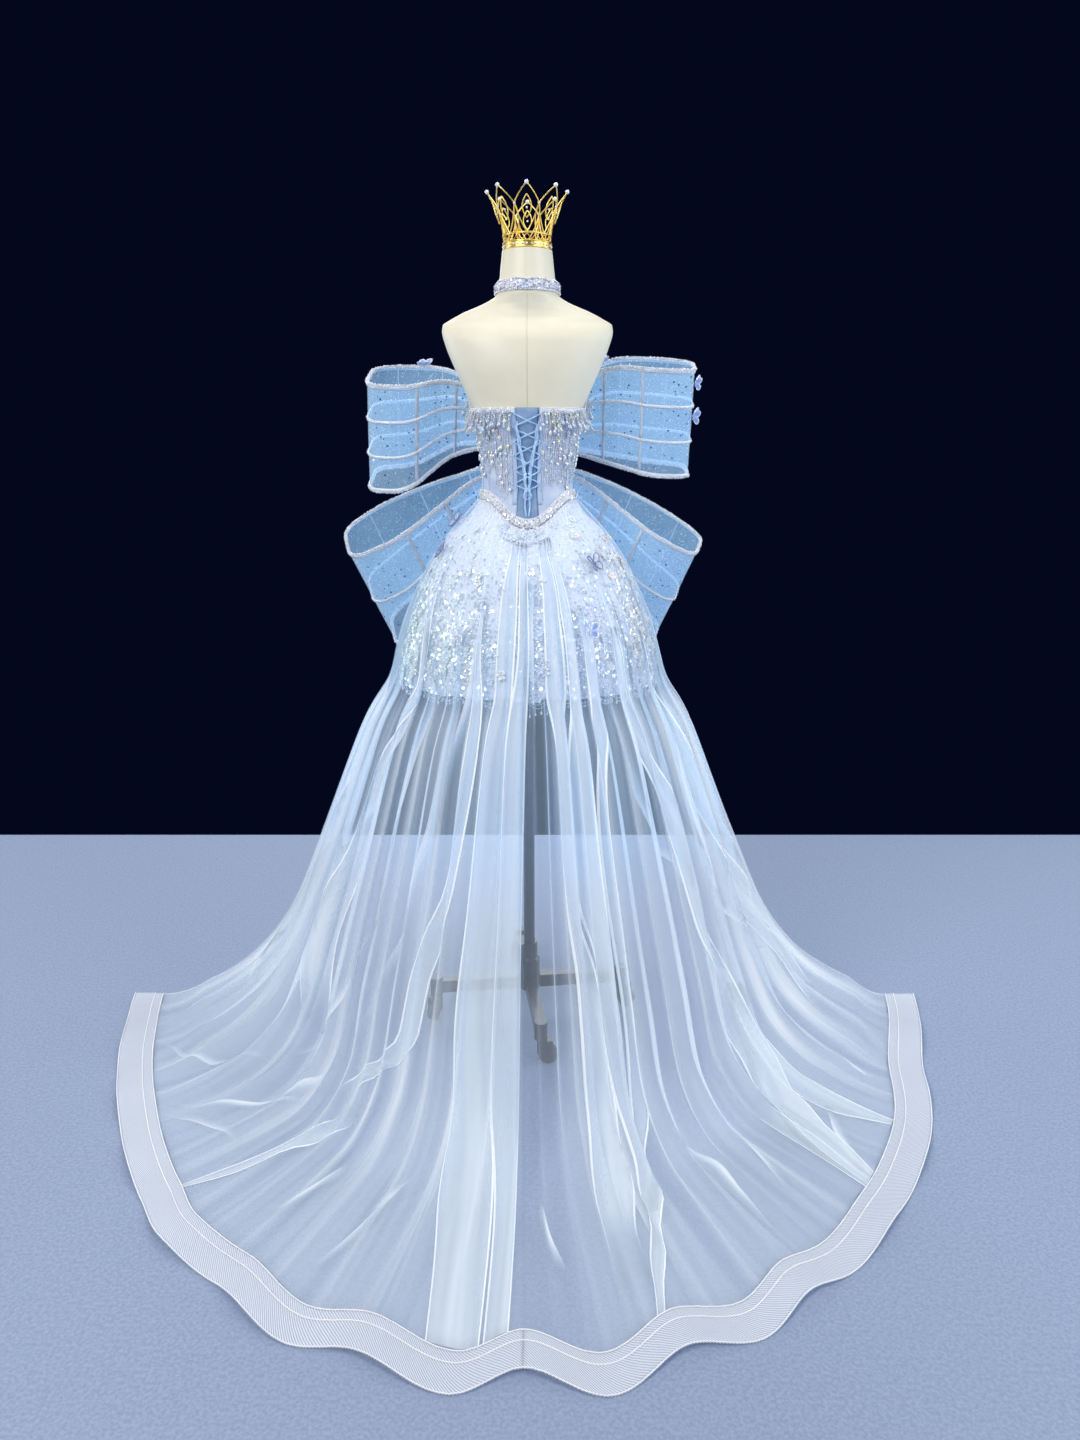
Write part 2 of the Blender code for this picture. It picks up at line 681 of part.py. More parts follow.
def caster(number, turn, trail_turn):
    """A fork that swivels about its stem, and a wheel that turns on the fork's axle."""
    swivel = bpy.data.objects.new(f"swivel_{number}", None)
    DRESS.objects.link(swivel)
    swivel.parent = ROOT
    swivel.location = heading(turn) * CASTER_AT
    swivel.rotation_euler.z = math.radians(trail_turn)

    inside = WHEEL_WIDE / 2 + FORK_PLAY
    outside = inside + FORK_CHEEK
    centre = (FORK_MIDDLE, 0.0, (FORK_TOP + FORK_LOW) / 2)
    fork = block(f"caster_fork_{number}", (FORK_LENGTH, 2 * outside, FORK_TOP - FORK_LOW), centre, BLACK)
    slot_top = FORK_TOP - FORK_PLATE
    slot = block(f"fork_slot_{number}", (0.08, 2 * inside, slot_top), (0.0, 0.0, slot_top / 2), BLACK)
    stem = turned(
        f"fork_stem_{number}",
        [
            (0.0, STEM_TOP),
            (STEM_RADIUS, STEM_TOP),
            (STEM_RADIUS, FORK_TOP - FORK_PLATE / 2),
            (0.0, FORK_TOP - FORK_PLATE / 2),
        ],
        BLACK,
        sides=10,
    )
    axle = cross_cylinder(f"fork_axle_{number}", AXLE_RADIUS, 2 * outside - 0.001, BLACK)
    join_with(fork, slot, "DIFFERENCE")
    join_with(fork, stem)
    join_with(fork, axle)
    for piece in (fork, slot, stem, axle):
        piece.parent = swivel

    wheel = turned(
        f"caster_wheel_{number}",
        [
            (AXLE_RADIUS + AXLE_PLAY, WHEEL_WIDE / 2),
            (WHEEL_RADIUS, WHEEL_WIDE / 2),
            (WHEEL_RADIUS, -WHEEL_WIDE / 2),
            (AXLE_RADIUS + AXLE_PLAY, -WHEEL_WIDE / 2),
        ],
        RUBBER,
        sides=WHEEL_SIDES,
    )
    wheel.parent = swivel
    wheel.location = (CASTER_TRAIL, 0.0, AXLE_AT)
    wheel.rotation_euler.x = math.pi / 2


def cross_cylinder(name, radius, length, material):
    bm = bmesh.new()
    place = Matrix.Translation((CASTER_TRAIL, 0.0, AXLE_AT)) @ Matrix.Rotation(math.pi / 2, 4, "X")
    bmesh.ops.create_cone(
        bm, cap_ends=True, segments=10, radius1=radius, radius2=radius, depth=length, matrix=place,
    )
    return add_mesh(name, bm, material)


# Bodice

def bodice_top(turn):
    """The neckline: level at the back, rising to two cups at the front with a dip between them."""
    forward = ease(-math.sin(math.radians(turn)) * BODICE_RISE)
    x = FORM.at(BODICE_BACK_TOP, "half_width") * math.cos(math.radians(turn))
    dip = BODICE_DIP * math.exp(-((x / BODICE_DIP_WIDE) ** 2))
    return BODICE_BACK_TOP + forward * (BODICE_CUP_TOP - BODICE_BACK_TOP - dip)


def bodice_rows(turn):
    """Heights of the bodice's rows: the form's own rings, one near the bust's ridge, and the top edge."""
    top = bodice_top(turn)
    ridge = min(BODICE_RIDGE, between(BODICE_ROWS[-1], top, BODICE_RIDGE_SHARE))
    return (*BODICE_ROWS, ridge, top)


def bodice_point(turn, row, out=FORM_CLEARANCE):
    return form_point(turn, bodice_rows(turn)[round(row)], out)


def half_seam(radius=WAIST_RADIUS):
    """Half of a seam's gap, as degrees of turn at a radius."""
    return math.degrees(SEAM / 2 / radius)


def panel_turns(low_turn, high_turn, cells):
    return spread(low_turn + half_seam(), high_turn - half_seam(), cells)


def bodice():
    rows = range(len(BODICE_ROWS) + 2)
    for low_turn, high_turn, cells, name in PANELS.rows:
        turns = panel_turns(low_turn, high_turn, cells)
        cloth(f"bodice_{name}", bodice_point, turns, rows, BODICE_WALL, PALE_BLUE)


def bodice_face(turn, height, out):
    """A point over the bodice's facets, at a height."""
    rows = bodice_rows(turn)
    row = max(number for number in range(len(rows) - 1) if number == 0 or rows[number] <= height)
    share = (height - rows[row]) / (rows[row + 1] - rows[row])
    return bodice_point(turn, row, out).lerp(bodice_point(turn, row + 1, out), share)


def modesty_panel():
    gap = 2 * half_seam()
    turns = spread(LACING_LEFT + gap, LACING_RIGHT - gap, PANEL_CELLS)

    def place(turn, row):
        return bodice_point(turn, row, PANEL_CLEARANCE)

    cloth("modesty_panel", place, turns, range(len(BODICE_ROWS) + 2), PANEL_WALL, GREY_BLUE)


def lacing():
    """Two crossed laces up the back opening, tied at the waist, as one joined solid, and their two tails."""
    knot_at = form_point(90, LACE_KNOT_AT, LACE_KNOT_OUT)
    laces = []
    for side in (-1, 1):
        stops = []
        for step in range(LACE_CROSSINGS + 1):
            way = side * (1 if step % 2 == 0 else -1)
            swing = way * (90 - LACING_LEFT + LACE_PAST_EDGE)
            height = between(LACE_TOP, LACE_LOW, step / LACE_CROSSINGS)
            stops.append(form_point(90 + swing, height, LACE_LIFT))
            crossing = between(LACE_TOP, LACE_LOW, (step + 0.5) / LACE_CROSSINGS)
            over = LACE_OVER[1] if way > 0 else LACE_OVER[0]
            stops.append(form_point(90, crossing, LACE_LIFT + over))
        stops[-1] = knot_at
        laces.append(tube(f"lace_{side}", stops, LACE_RADIUS, SATIN))
    laces[0].name = "back_lacing"
    knot = bmesh.new()
    bmesh.ops.create_icosphere(knot, subdivisions=2, radius=1.0)
    bmesh.ops.scale(knot, vec=LACE_KNOT, verts=knot.verts)
    bmesh.ops.translate(knot, vec=knot_at, verts=knot.verts)
    join_with(laces[0], laces[1])
    join_with(laces[0], add_mesh("lace_knot", knot, SATIN))
    for name, side in (("left", 1), ("right", -1)):
        cord(f"lace_tail_{name}", tail_points(side), LACE_RADIUS, SATIN)


def tail_points(side):
    """A free end of the lace, from beside the knot's low point down the panel, with a slight bow outward."""
    points = []
    for step in range(TAIL_STEPS + 1):
        share = step / TAIL_STEPS
        height = between(LACE_KNOT_AT - LACE_KNOT[2] + TAIL_RISE, TAIL_END, share)
        point = form_point(90, height, between(LACE_KNOT_OUT, LACE_LIFT, ease(share * 2)))
        swing = TAIL_APART * (1 + TAIL_SWING * math.sin(math.pi * share))
        points.append(point + Vector((side * swing, 0.0, 0.0)))
    return points


# Skirt

def waist_edge(turn):
    across = FORM.at(WAIST_AT, "half_width") * math.cos(math.radians(turn))
    behind = math.sin(math.radians(turn)) > 0
    dip = WAIST_DIP * (1 - ease(abs(across) / WAIST_DIP_HALF)) if behind else 0.0
    return WAIST_AT - dip


def skirt_hem(turn):
    behind = max(0.0, math.sin(math.radians(turn)))
    scallop = SCALLOP * abs(math.sin(math.radians(turn * SCALLOPS / 2)))
    return between(SKIRT_HEM_SIDE, SKIRT_HEM_BACK, behind) - scallop


def roundness(turn):
    """How far the skirt's circle is pressed in at the front and back."""
    pressed = PRESSED_BACK if math.sin(math.radians(turn)) > 0 else PRESSED_FRONT
    return 1 - pressed * math.sin(math.radians(turn)) ** 2


def skirt_top(turn):
    return waist_edge(turn) - WAISTBAND_HIGH - SEAM - HEADING


def skirt_surface(turn, height, out):
    """A point of the skirt without its folds, at a height below the waistband."""
    top = skirt_top(turn)
    share = (top - height) / (top - SKIRT_HEM_BACK)
    band = bodice_face(turn, height, FORM_CLEARANCE + BODICE_WALL + LAYER)
    dome = heading(turn) * SKIRT.at(height, "radius") * roundness(turn)
    dome.z = height
    return band.lerp(dome, ease(share / SKIRT_SWELL)) + heading(turn) * out


def skirt_point(turn, share):
    height = between(skirt_hem(turn), skirt_top(turn), share)
    fold = SKIRT_FOLD * (1 - share) ** 0.8 * math.cos(math.radians(turn * SKIRT_FOLDS))
    return skirt_surface(turn, height, fold)


def waistband_point(turn, share):
    height = waist_edge(turn) - WAISTBAND_HIGH * (1 - share)
    return bodice_face(turn, height, FORM_CLEARANCE + BODICE_WALL + LAYER)


def skirt():
    shares = spread(0.0, 1.0, SKIRT_ROWS)
    for name, low_turn in (("front", 180.0), ("back", 0.0)):
        first, last = low_turn + half_seam(), low_turn + 180.0 - half_seam()
        across = spread(first, last, SKIRT_CELLS)
        cloth(f"skirt_{name}", skirt_point, across, shares, SKIRT_WALL, LACE_WHITE)
        turns = [first, *[turn for turn in stations() if low_turn < turn < low_turn + 180.0], last]
        cloth(f"waistband_{name}", waistband_point, turns, [0.0, 1.0], WAISTBAND_WALL, LACE_WHITE)


# Train

def fold_phase(turn):
    """Degrees of fold passed at a turn: the folds are uneven in width."""
    even = turn * TRAIN_FOLDS * 360 / 180
    return even + 130 * math.sin(math.radians(turn * 3 + 20)) + 80 * math.sin(math.radians(turn * 7))


def turn_at_phase(phase):
    low, high = TRAIN_FROM - 20, TRAIN_TO + 20
    for _ in range(40):
        middle = (low + high) / 2
        if fold_phase(middle) < phase:
            low = middle
        else:
            high = middle
    return (low + high) / 2


def fold_turns(low_turn, high_turn, per_fold=4):
    step = 360 / per_fold
    first = math.ceil(fold_phase(low_turn) / step + FOLD_SLIVER)
    last = math.floor(fold_phase(high_turn) / step - FOLD_SLIVER)
    inner = [turn_at_phase(number * step) for number in range(first, last + 1)]
    return [low_turn, *inner, high_turn]


def train_row(turn, row):
    """Distance from the pole and height of the unfolded train at a turn and a row of the drape."""
    away = abs(turn - 90) / 90
    if away < 0.5:
        first, second, part = "back", "mid", ease(away / 0.5)
    else:
        first, second, part = "mid", "edge", ease((away - 0.5) / 0.5)
    radii, heights = [], []
    for number in range(LAST_ROW + 1):
        height = between(DRAPE.at(number, first + "_z"), DRAPE.at(number, second + "_z"), part)
        radius = between(DRAPE.at(number, first + "_r"), DRAPE.at(number, second + "_r"), part)
        if number <= SKIRT_ROWS:
            height = between(skirt_top(turn), SKIRT_HEM_BACK, number / SKIRT_ROWS)
            surface = skirt_surface(turn, height, DRAPE.at(number, "clear"))
            radius = math.hypot(surface.x, surface.y)
        if number == LAST_ROW:
            radius = HEM.at(turn, "radius") - BRAID_WIDE - BRAID_SEAM
        radii.append(radius)
        heights.append(height)
    numbers = range(LAST_ROW + 1)
    return smooth_through(numbers, radii, row), smooth_through(numbers, heights, row)


def braid_rise(turn):
    """How far the stiff hem stands up off the floor in its waves."""
    return BRAID_RISE * (0.5 - 0.5 * math.cos(math.tau * (turn - LOBE_AT) / LOBE_EVERY))


def train_point(turn, share):
    row = LAST_ROW * (1 - share)
    radius, height = train_row(turn, row)
    depth = 0.75 + 0.25 * math.sin(math.radians(turn * 5 + 40))
    fold = math.cos(math.radians(fold_phase(turn)))
    radius += DRAPE.at(row, "out") * fold * depth
    height += DRAPE.at(row, "lift") * (0.5 + 0.5 * fold) * depth
    if row > LAST_ROW - 1:
        settle = row - LAST_ROW + 1
        height = between(height, braid_height(turn, 0.0), settle)
    around = heading(turn) * radius
    if row < SKIRT_ROWS:
        surface = skirt_surface(turn, height, 0.0)
        flat = Vector((surface.x, surface.y, 0.0)).normalized()
        around = (flat * radius).lerp(around, row / SKIRT_ROWS)
    return Vector((around.x, around.y, height))


def braid_height(turn, share):
    edge = ease(abs(turn - 90) / 90 * 4 - 3)
    wave = braid_rise(turn) * between(BRAID_INNER_RISE, 1.0, share)
    return wave + edge * between(BRAID_END_INNER, BRAID_END_OUTER, share)


def braid_point(turn, share):
    outer = HEM.at(turn, "radius")
    radius = between(outer, outer - BRAID_WIDE, share)
    around = heading(turn) * radius
    return Vector((around.x, around.y, braid_height(turn, 1 - share)))


def gore_turns(low_turn, high_turn):
    return fold_turns(low_turn + half_seam(), high_turn - half_seam())


def train():
    for low_turn, high_turn, name in GORES.rows:
        turns = gore_turns(low_turn, high_turn)
        cloth(f"train_{name}", train_point, turns, spread(0.0, 1.0, LAST_ROW), TULLE_WALL, TULLE)
    gap = half_seam(BRAID_RADIUS)
    for name, low_turn, high_turn in (("left", TRAIN_FROM, 90.0), ("right", 90.0, TRAIN_TO)):
        turns = fold_turns(low_turn + gap, high_turn - gap)
        cloth(f"hem_braid_{name}", braid_point, turns, [0.0, 1.0], BRAID_WALL, BRAID)


# Bow

def loop_sizes(number):
    return dict(zip(LOOPS.columns, LOOPS.rows[number]))


def loop_axes(number):
    """The loop's own directions: out along it, across its band, and towards the wearer's back."""
    sizes = loop_sizes(number)
    drop, lean, tilt = [math.radians(sizes[name]) for name in ("drop", "lean", "tilt")]
    side = sizes["side"]
    along = Vector((side * math.cos(drop), 0.0, -math.sin(drop)))
    level = math.cos(tilt)
    across = Vector((side * math.sin(lean) * level, math.sin(tilt), math.cos(lean) * level))
    return along, across, along.cross(across).normalized() * -side


def loop_point(number, path, share, metres=0.0, out=0.0):
    """A point of the loop's cloth; the share runs from 0 at its lower rim to 1 at its upper one."""
    sizes = loop_sizes(number)
    along, across, back = loop_axes(number)
    start = Vector((sizes["side"] * LOOP_START, LOOPS_Y, sizes["start_z"]))

    def middle(path):
        reach = LOOP_PLAN.at(path, "along") * sizes["length"]
        depth = LOOP_PLAN.at(path, sizes["depth"])
        depth *= sizes["near"] if depth > 0 else sizes["far"]
        return start + along * reach + back * depth

    reach = LOOP_PLAN.at(path, "along")
    up = between(sizes["grip"], sizes["up"], LOOP_REACH.at(reach, "up"))
    down = between(LOOP_IN_KNOT, sizes["down"], LOOP_REACH.at(reach, f"down_{number}"))
    point = middle(path) + across * (between(-down, up, share) + metres)
    if out:
        away = (middle(path + 0.02) - middle(path - 0.02)).cross(across).normalized()
        point -= away * out * sizes["side"]
    return point


def loop_steps():
    """Places round a loop: close together on its outer turn, and at both edges of each cross tape."""
    edges = [path + edge for path in CROSS_TAPES for edge in (-TAPE_STEP, TAPE_STEP)]
    return sorted((*LOOP_STOPS, *edges))


def bow_loop(number):
    def place(path, share):
        return loop_point(number, path, share)

    name = f"bow_loop_{LOOP_NAMES[number]}"
    left = loop_sizes(number)["side"] > 0
    cloth(name, place, loop_steps(), [0.0, 1.0], ORGANZA_WALL, SKY_BLUE, flip=left)


def boning(number):
    """The tapes sewn over a loop: along both rims, between its rows, and across it."""
    rows = loop_sizes(number)["rows"]
    steps = loop_steps()[1:-1]
    crossing = {steps.index(path - TAPE_STEP) for path in CROSS_TAPES}
    width = 2 * TAPE_HALF
    up = [(0.0, 0.0), (0.0, width)]
    for row in range(1, rows):
        up += [(row / rows, -TAPE_HALF), (row / rows, TAPE_HALF)]
    up += [(1.0, -width), (1.0, 0.0)]

    def place(path, across):
        return loop_point(number, path, *across, ORGANZA_WALL + LAYER)

    def keep(column, row):
        return row % 2 == 0 or column in crossing

    name = f"bow_tapes_{LOOP_NAMES[number]}"
    left = loop_sizes(number)["side"] > 0
    cloth(name, place, steps, up, TAPE_WALL, SILVER_WHITE, flip=left, keep=keep)


def bow_knot():
    """A band of cloth wrapped round the four loops where they meet."""
    high, middle = (KNOT_TOP - KNOT_LOW) / 2, (KNOT_TOP + KNOT_LOW) / 2

    def place(turn, across):
        angle = math.radians(turn)
        part = 2.0 / KNOT_SQUARENESS
        y = KNOT_HALF_DEEP * math.copysign(abs(math.cos(angle)) ** part, math.cos(angle))
        z = high * math.copysign(abs(math.sin(angle)) ** part, math.sin(angle))
        swell = 1.0 + KNOT_SWELL * (across / KNOT_HALF_WIDE) ** 2
        return Vector((across, KNOT_Y + y * swell, middle + z * swell))

    turns = spread(0.0, 360.0, KNOT_CELLS)
    bm = grid(place, turns, spread(-KNOT_HALF_WIDE, KNOT_HALF_WIDE, 2))
    bmesh.ops.remove_doubles(bm, verts=bm.verts, dist=1e-6)
    bmesh.ops.reverse_faces(bm, faces=bm.faces)
    thicken(add_mesh("bow_knot", bm, SKY_BLUE), KNOT_WALL)


# Choker and trims

def choker_point(turn, share):
    low = CHOKER_LOW + CHOKER_TILT * math.sin(math.radians(turn))
    scallop = CHOKER_SCALLOP * abs(math.sin(math.radians(turn * CHOKER_WAVES / 2)))
    return form_point(turn, low + (CHOKER_HIGH + scallop) * share, CHOKER_CLEARANCE)


def choker():
    bm = grid(choker_point, spread(0.0, 360.0, CHOKER_CELLS), [0.0, 1.0])
    bmesh.ops.remove_doubles(bm, verts=bm.verts, dist=1e-6)
    thicken(add_mesh("choker", bm, LACE_WHITE), CHOKER_WALL)


def fringe():
    """Crystal strings that hang from a narrow strip round the bodice's top edge, one at each step."""
    out = FORM_CLEARANCE + BODICE_WALL + 1.5 * LAYER
    turns = [turn for turn in stations() if not LACING_LEFT <= turn <= LACING_RIGHT]
    turns = sorted(turn - 360 if turn > LACING_RIGHT else turn for turn in turns)

    def strip_point(turn, share):
        return bodice_face(turn, bodice_top(turn) - between(FRINGE_LOW, FRINGE_HIGH, share), out)

    strip = cloth("bodice_fringe", strip_point, turns, [0.0, 1.0], FRINGE_STRIP, CRYSTAL)
    strands = bmesh.new()
    for step, turn in enumerate(turns[1:-1]):
        inner = strip_point(turn, 0.0).lerp(strip_point(turn, 1.0), 0.5)
        away = (form_point(turn, inner.z, out) - form_point(turn, inner.z)).normalized()
        root = inner + away * (FRINGE_STRIP - STRING_BITE)
        length = STRING_LONG + STRING_VARIES * math.sin(step * 2.4)
        lean = STRING_LEAN + STRING_LEAN_VARIES * math.sin(step * 1.7)
        end = root + away * length * math.sin(lean)
        end.z -= length * math.cos(lean)
        taper(strands, root, end)
    join_with(strip, add_mesh("fringe_strands", strands, CRYSTAL))


def taper(bm, start, end):
    """A hanging drop: three-sided, thin at the root and wide at its end."""
    along = end - start
    turn = Vector((0.0, 0.0, 1.0)).rotation_difference(along.normalized()).to_matrix().to_4x4()
    bmesh.ops.create_cone(
        bm,
        cap_ends=True,
        segments=3,
        radius1=STRING_THIN,
        radius2=STRING_THICK,
        depth=along.length,
        matrix=Matrix.Translation((start + end) / 2) @ turn,
    )


def butterfly(name, size, at, away, head, material):
    """Four flat wings that rise from the body line; away is where it faces, and head where it points."""
    bm = bmesh.new()
    half = [bm.verts.new((x * size, y * size, WING_RISE * x * size)) for x, y in WING]
    bmesh.ops.contextual_create(bm, geom=half)
    bmesh.ops.mirror(bm, geom=bm.verts[:] + bm.edges[:] + bm.faces[:], axis="X", merge_dist=1e-5)
    bmesh.ops.recalc_face_normals(bm, faces=bm.faces)
    if sum(face.normal.z for face in bm.faces) < 0:
        bmesh.ops.reverse_faces(bm, faces=bm.faces)
    bmesh.ops.triangulate(bm, faces=bm.faces)
    up = away.normalized()
    front = (head - up * head.dot(up)).normalized()
    frame = Matrix((front.cross(up), front, up)).transposed().to_4x4()
    bmesh.ops.transform(bm, matrix=Matrix.Translation(at) @ frame, verts=bm.verts)
    thicken(add_mesh(name, bm, material), WING_WALL)


def train_butterflies():
    """Each sits on the station of the train that is nearest to its turn."""
    all_turns = [turn for low_turn, high_turn, _ in GORES.rows for turn in gore_turns(low_turn, high_turn)]
    for number, (wanted, share, size, roll, material) in enumerate(ON_TRAIN.rows, start=1):
        turn = min(all_turns, key=lambda station: abs(station - wanted))
        here, up = on_facet(spread(0.0, 1.0, LAST_ROW), share, lambda row: train_point(turn, row))
        along = train_point(turn + 1, share) - train_point(turn - 1, share)
        away = along.cross(up).normalized()
        head = Matrix.Rotation(math.radians(roll), 3, away) @ up
        at = here + away * (TULLE_WALL + PERCH)
        finishes = {"blue": WING_BLUE, "white": WING_WHITE}
        butterfly(f"train_butterfly_{number}", size, at, away, head, finishes[material])


def bow_butterflies():
    """Two sit along a loop's upper rim and two on its outer turn."""
    over_cloth = ORGANZA_WALL + LAYER
    for number, (loop, path, share, size) in enumerate(ON_BOW.rows, start=1):
        _, across, _ = loop_axes(loop)
        if share == 1.0:
            at, head = on_facet(
                loop_steps(), path, lambda step: loop_point(loop, step, 1.0, PERCH, over_cloth)
            )
            away = across - head * across.dot(head)
        else:
            at = loop_point(loop, path, share, 0.0, over_cloth + PERCH)
            away = at - loop_point(loop, path, share)
            head = across
        butterfly(f"bow_butterfly_{number}", size, at, away, head, WING_BLUE)


clear_scene()
DRESS = collection("mini_prom_dress")
HELPERS = collection("cutters_and_joined_shapes")
ROOT = bpy.data.objects.new("under_outline_centre", None)
ROOT.location = POLE_AT
DRESS.objects.link(ROOT)

IVORY = finish("form_ivory", (0.86, 0.83, 0.72), 0.6)
GOLD = finish("finial_gold", (0.86, 0.62, 0.17), 0.22, metallic=1.0)
BLACK = finish("stand_black", (0.030, 0.035, 0.045), 0.45, metallic=0.2)
RUBBER = finish("wheel_black", (0.020, 0.020, 0.022), 0.6)
PALE_BLUE = finish("bodice_pale_blue", (0.62, 0.74, 0.90), 0.4)
GREY_BLUE = finish("panel_grey_blue", (0.46, 0.58, 0.76), 0.5)
SATIN = finish("lacing_satin", (0.52, 0.72, 0.95), 0.3)
LACE_WHITE = finish("lace_lilac_white", (0.82, 0.84, 0.94), 0.5)
TULLE = finish("tulle_white", (0.80, 0.86, 0.95), 0.6, clearness=0.55)
BRAID = finish("braid_white", (0.88, 0.91, 0.96), 0.45, clearness=0.15)
SKY_BLUE = finish("organza_sky_blue", (0.34, 0.60, 0.92), 0.35, clearness=0.25)
SILVER_WHITE = finish("tape_silver_white", (0.85, 0.90, 0.96), 0.35)
CRYSTAL = finish("crystal_strings", (0.80, 0.86, 0.96), 0.15)
WING_BLUE = finish("butterfly_blue", (0.55, 0.66, 0.95), 0.4)
WING_WHITE = finish("butterfly_white", (0.90, 0.93, 0.98), 0.4)

form_torso()
finial()
stand_post()
for number, trail_turn in enumerate(CASTER_TRAIL_TURNS, start=1):
    turn = LEG_TURN + 90 * (number - 1)
    stand_leg(number, turn)
    caster(number, turn, trail_turn)

bodice()
modesty_panel()
lacing()
fringe()
skirt()
train()
for number in range(len(LOOP_NAMES)):
    bow_loop(number)
    boning(number)
bow_knot()
choker()
train_butterflies()
bow_butterflies()
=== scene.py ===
"""Looks of a mini prom dress with a sheer train and a boned bow, on a dress form and rolling stand.

Metres, +Z up. Surfaces are worked out about the stand's pole, and PIVOT puts them where the frame has it.
Turn 0 is the wearer's left (+X) and turn 90 is behind the wearer (+Y), where the train trails.
"""

import json
import math
import random
from functools import lru_cache

import bmesh
import bpy
import numpy as np
from mathutils import Matrix, Vector, noise

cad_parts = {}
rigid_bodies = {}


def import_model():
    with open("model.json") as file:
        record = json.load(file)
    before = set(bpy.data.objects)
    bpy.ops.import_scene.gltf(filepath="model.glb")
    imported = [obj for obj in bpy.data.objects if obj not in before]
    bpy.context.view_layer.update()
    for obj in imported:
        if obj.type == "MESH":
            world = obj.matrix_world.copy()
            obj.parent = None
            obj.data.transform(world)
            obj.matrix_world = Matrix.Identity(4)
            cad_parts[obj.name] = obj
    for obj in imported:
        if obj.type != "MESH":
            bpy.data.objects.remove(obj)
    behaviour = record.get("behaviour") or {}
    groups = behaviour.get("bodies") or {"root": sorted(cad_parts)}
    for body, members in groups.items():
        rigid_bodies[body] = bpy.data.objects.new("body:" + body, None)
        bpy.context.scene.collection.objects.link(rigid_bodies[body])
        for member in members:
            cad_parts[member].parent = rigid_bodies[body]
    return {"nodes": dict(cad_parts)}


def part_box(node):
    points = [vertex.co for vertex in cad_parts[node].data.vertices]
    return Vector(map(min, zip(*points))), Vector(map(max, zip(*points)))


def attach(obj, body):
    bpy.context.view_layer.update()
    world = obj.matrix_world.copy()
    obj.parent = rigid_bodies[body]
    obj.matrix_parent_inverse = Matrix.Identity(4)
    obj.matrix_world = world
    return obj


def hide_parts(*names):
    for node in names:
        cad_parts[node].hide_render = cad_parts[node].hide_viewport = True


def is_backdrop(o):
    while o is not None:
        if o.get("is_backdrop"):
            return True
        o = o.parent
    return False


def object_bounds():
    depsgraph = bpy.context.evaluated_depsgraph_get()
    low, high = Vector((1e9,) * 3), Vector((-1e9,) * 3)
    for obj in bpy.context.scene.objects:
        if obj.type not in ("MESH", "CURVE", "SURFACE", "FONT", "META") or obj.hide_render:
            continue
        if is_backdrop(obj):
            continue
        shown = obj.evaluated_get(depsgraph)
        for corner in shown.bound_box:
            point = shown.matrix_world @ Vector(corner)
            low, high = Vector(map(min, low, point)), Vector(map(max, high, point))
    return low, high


bl_info = {
    "name": "Mini Prom Dress",
    "version": (1, 0, 0),
    "blender": (4, 5, 0),
    "location": "3D View > Sidebar > Prom Dress",
    "description": "Models and finishes a beaded mini dress with a tulle train and a boned bow",
    "category": "Object",
}

for thing in list(bpy.data.objects):
    bpy.data.objects.remove(thing, do_unlink=True)
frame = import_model()
CAD_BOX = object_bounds()
POLE_LOW, POLE_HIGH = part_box("stand_pole")
PIVOT = Vector(((POLE_LOW.x + POLE_HIGH.x) / 2, (POLE_LOW.y + POLE_HIGH.y) / 2, 0.0))

# Cloth walls, seams and the layers over the form
SEAM, LAYER, FORM_CLEARANCE, WAIST_RADIUS = 0.0005, 0.0006, 0.0014, 0.1
BODICE_WALL, SKIRT_WALL, TULLE_WALL, BRAID_WALL, ORGANZA_WALL = 0.002, 0.0014, 0.0007, 0.002, 0.0009
BUST_AT, BUST_APART, BUST_OUT, BUST_WIDE, BUST_TALL = 1.472, 0.124, 0.016, 0.046, 0.050

# Waist, bodice and skirt edges
WAIST_AT, WAIST_DIP, WAIST_DIP_HALF = 1.305, 0.060, 0.088
WAISTBAND_HIGH, WAISTBAND_WALL, HEADING = 0.020, 0.0030, 0.0016
BODICE_LOW, BODICE_BACK_TOP, BODICE_CUP_TOP, BODICE_DIP, BODICE_DIP_WIDE = 1.218, 1.476, 1.535, 0.040, 0.030
BODICE_RISE = 1.6
SKIRT_HEM_SIDE, SKIRT_HEM_BACK, SCALLOP, SCALLOPS, SKIRT_FOLDS = 0.882, 0.893, 0.009, 18, 18
SKIRT_SWELL, SKIRT_FOLD, PRESSED_BACK, PRESSED_FRONT, SKIRT_ROWS = 0.22, 0.0045, 0.04, 0.08, 4

# Back lacing
LACING_LEFT, LACING_RIGHT, LACE_TOP, LACE_LOW, LACE_CROSSINGS = 79.0, 101.0, 1.464, 1.318, 5
LACE_RADIUS, LACE_LIFT, LACE_PAST_EDGE, LACE_OVER = 0.0016, 0.0062, 2.5, (0.0002, 0.0026)
LACE_KNOT, LACE_KNOT_AT, LACE_KNOT_OUT = (0.0075, 0.0046, 0.0090), 1.306, 0.0078
TAIL_END, TAIL_RISE, TAIL_APART, TAIL_SWING = 1.251, 0.0005, 0.0024, 1.2

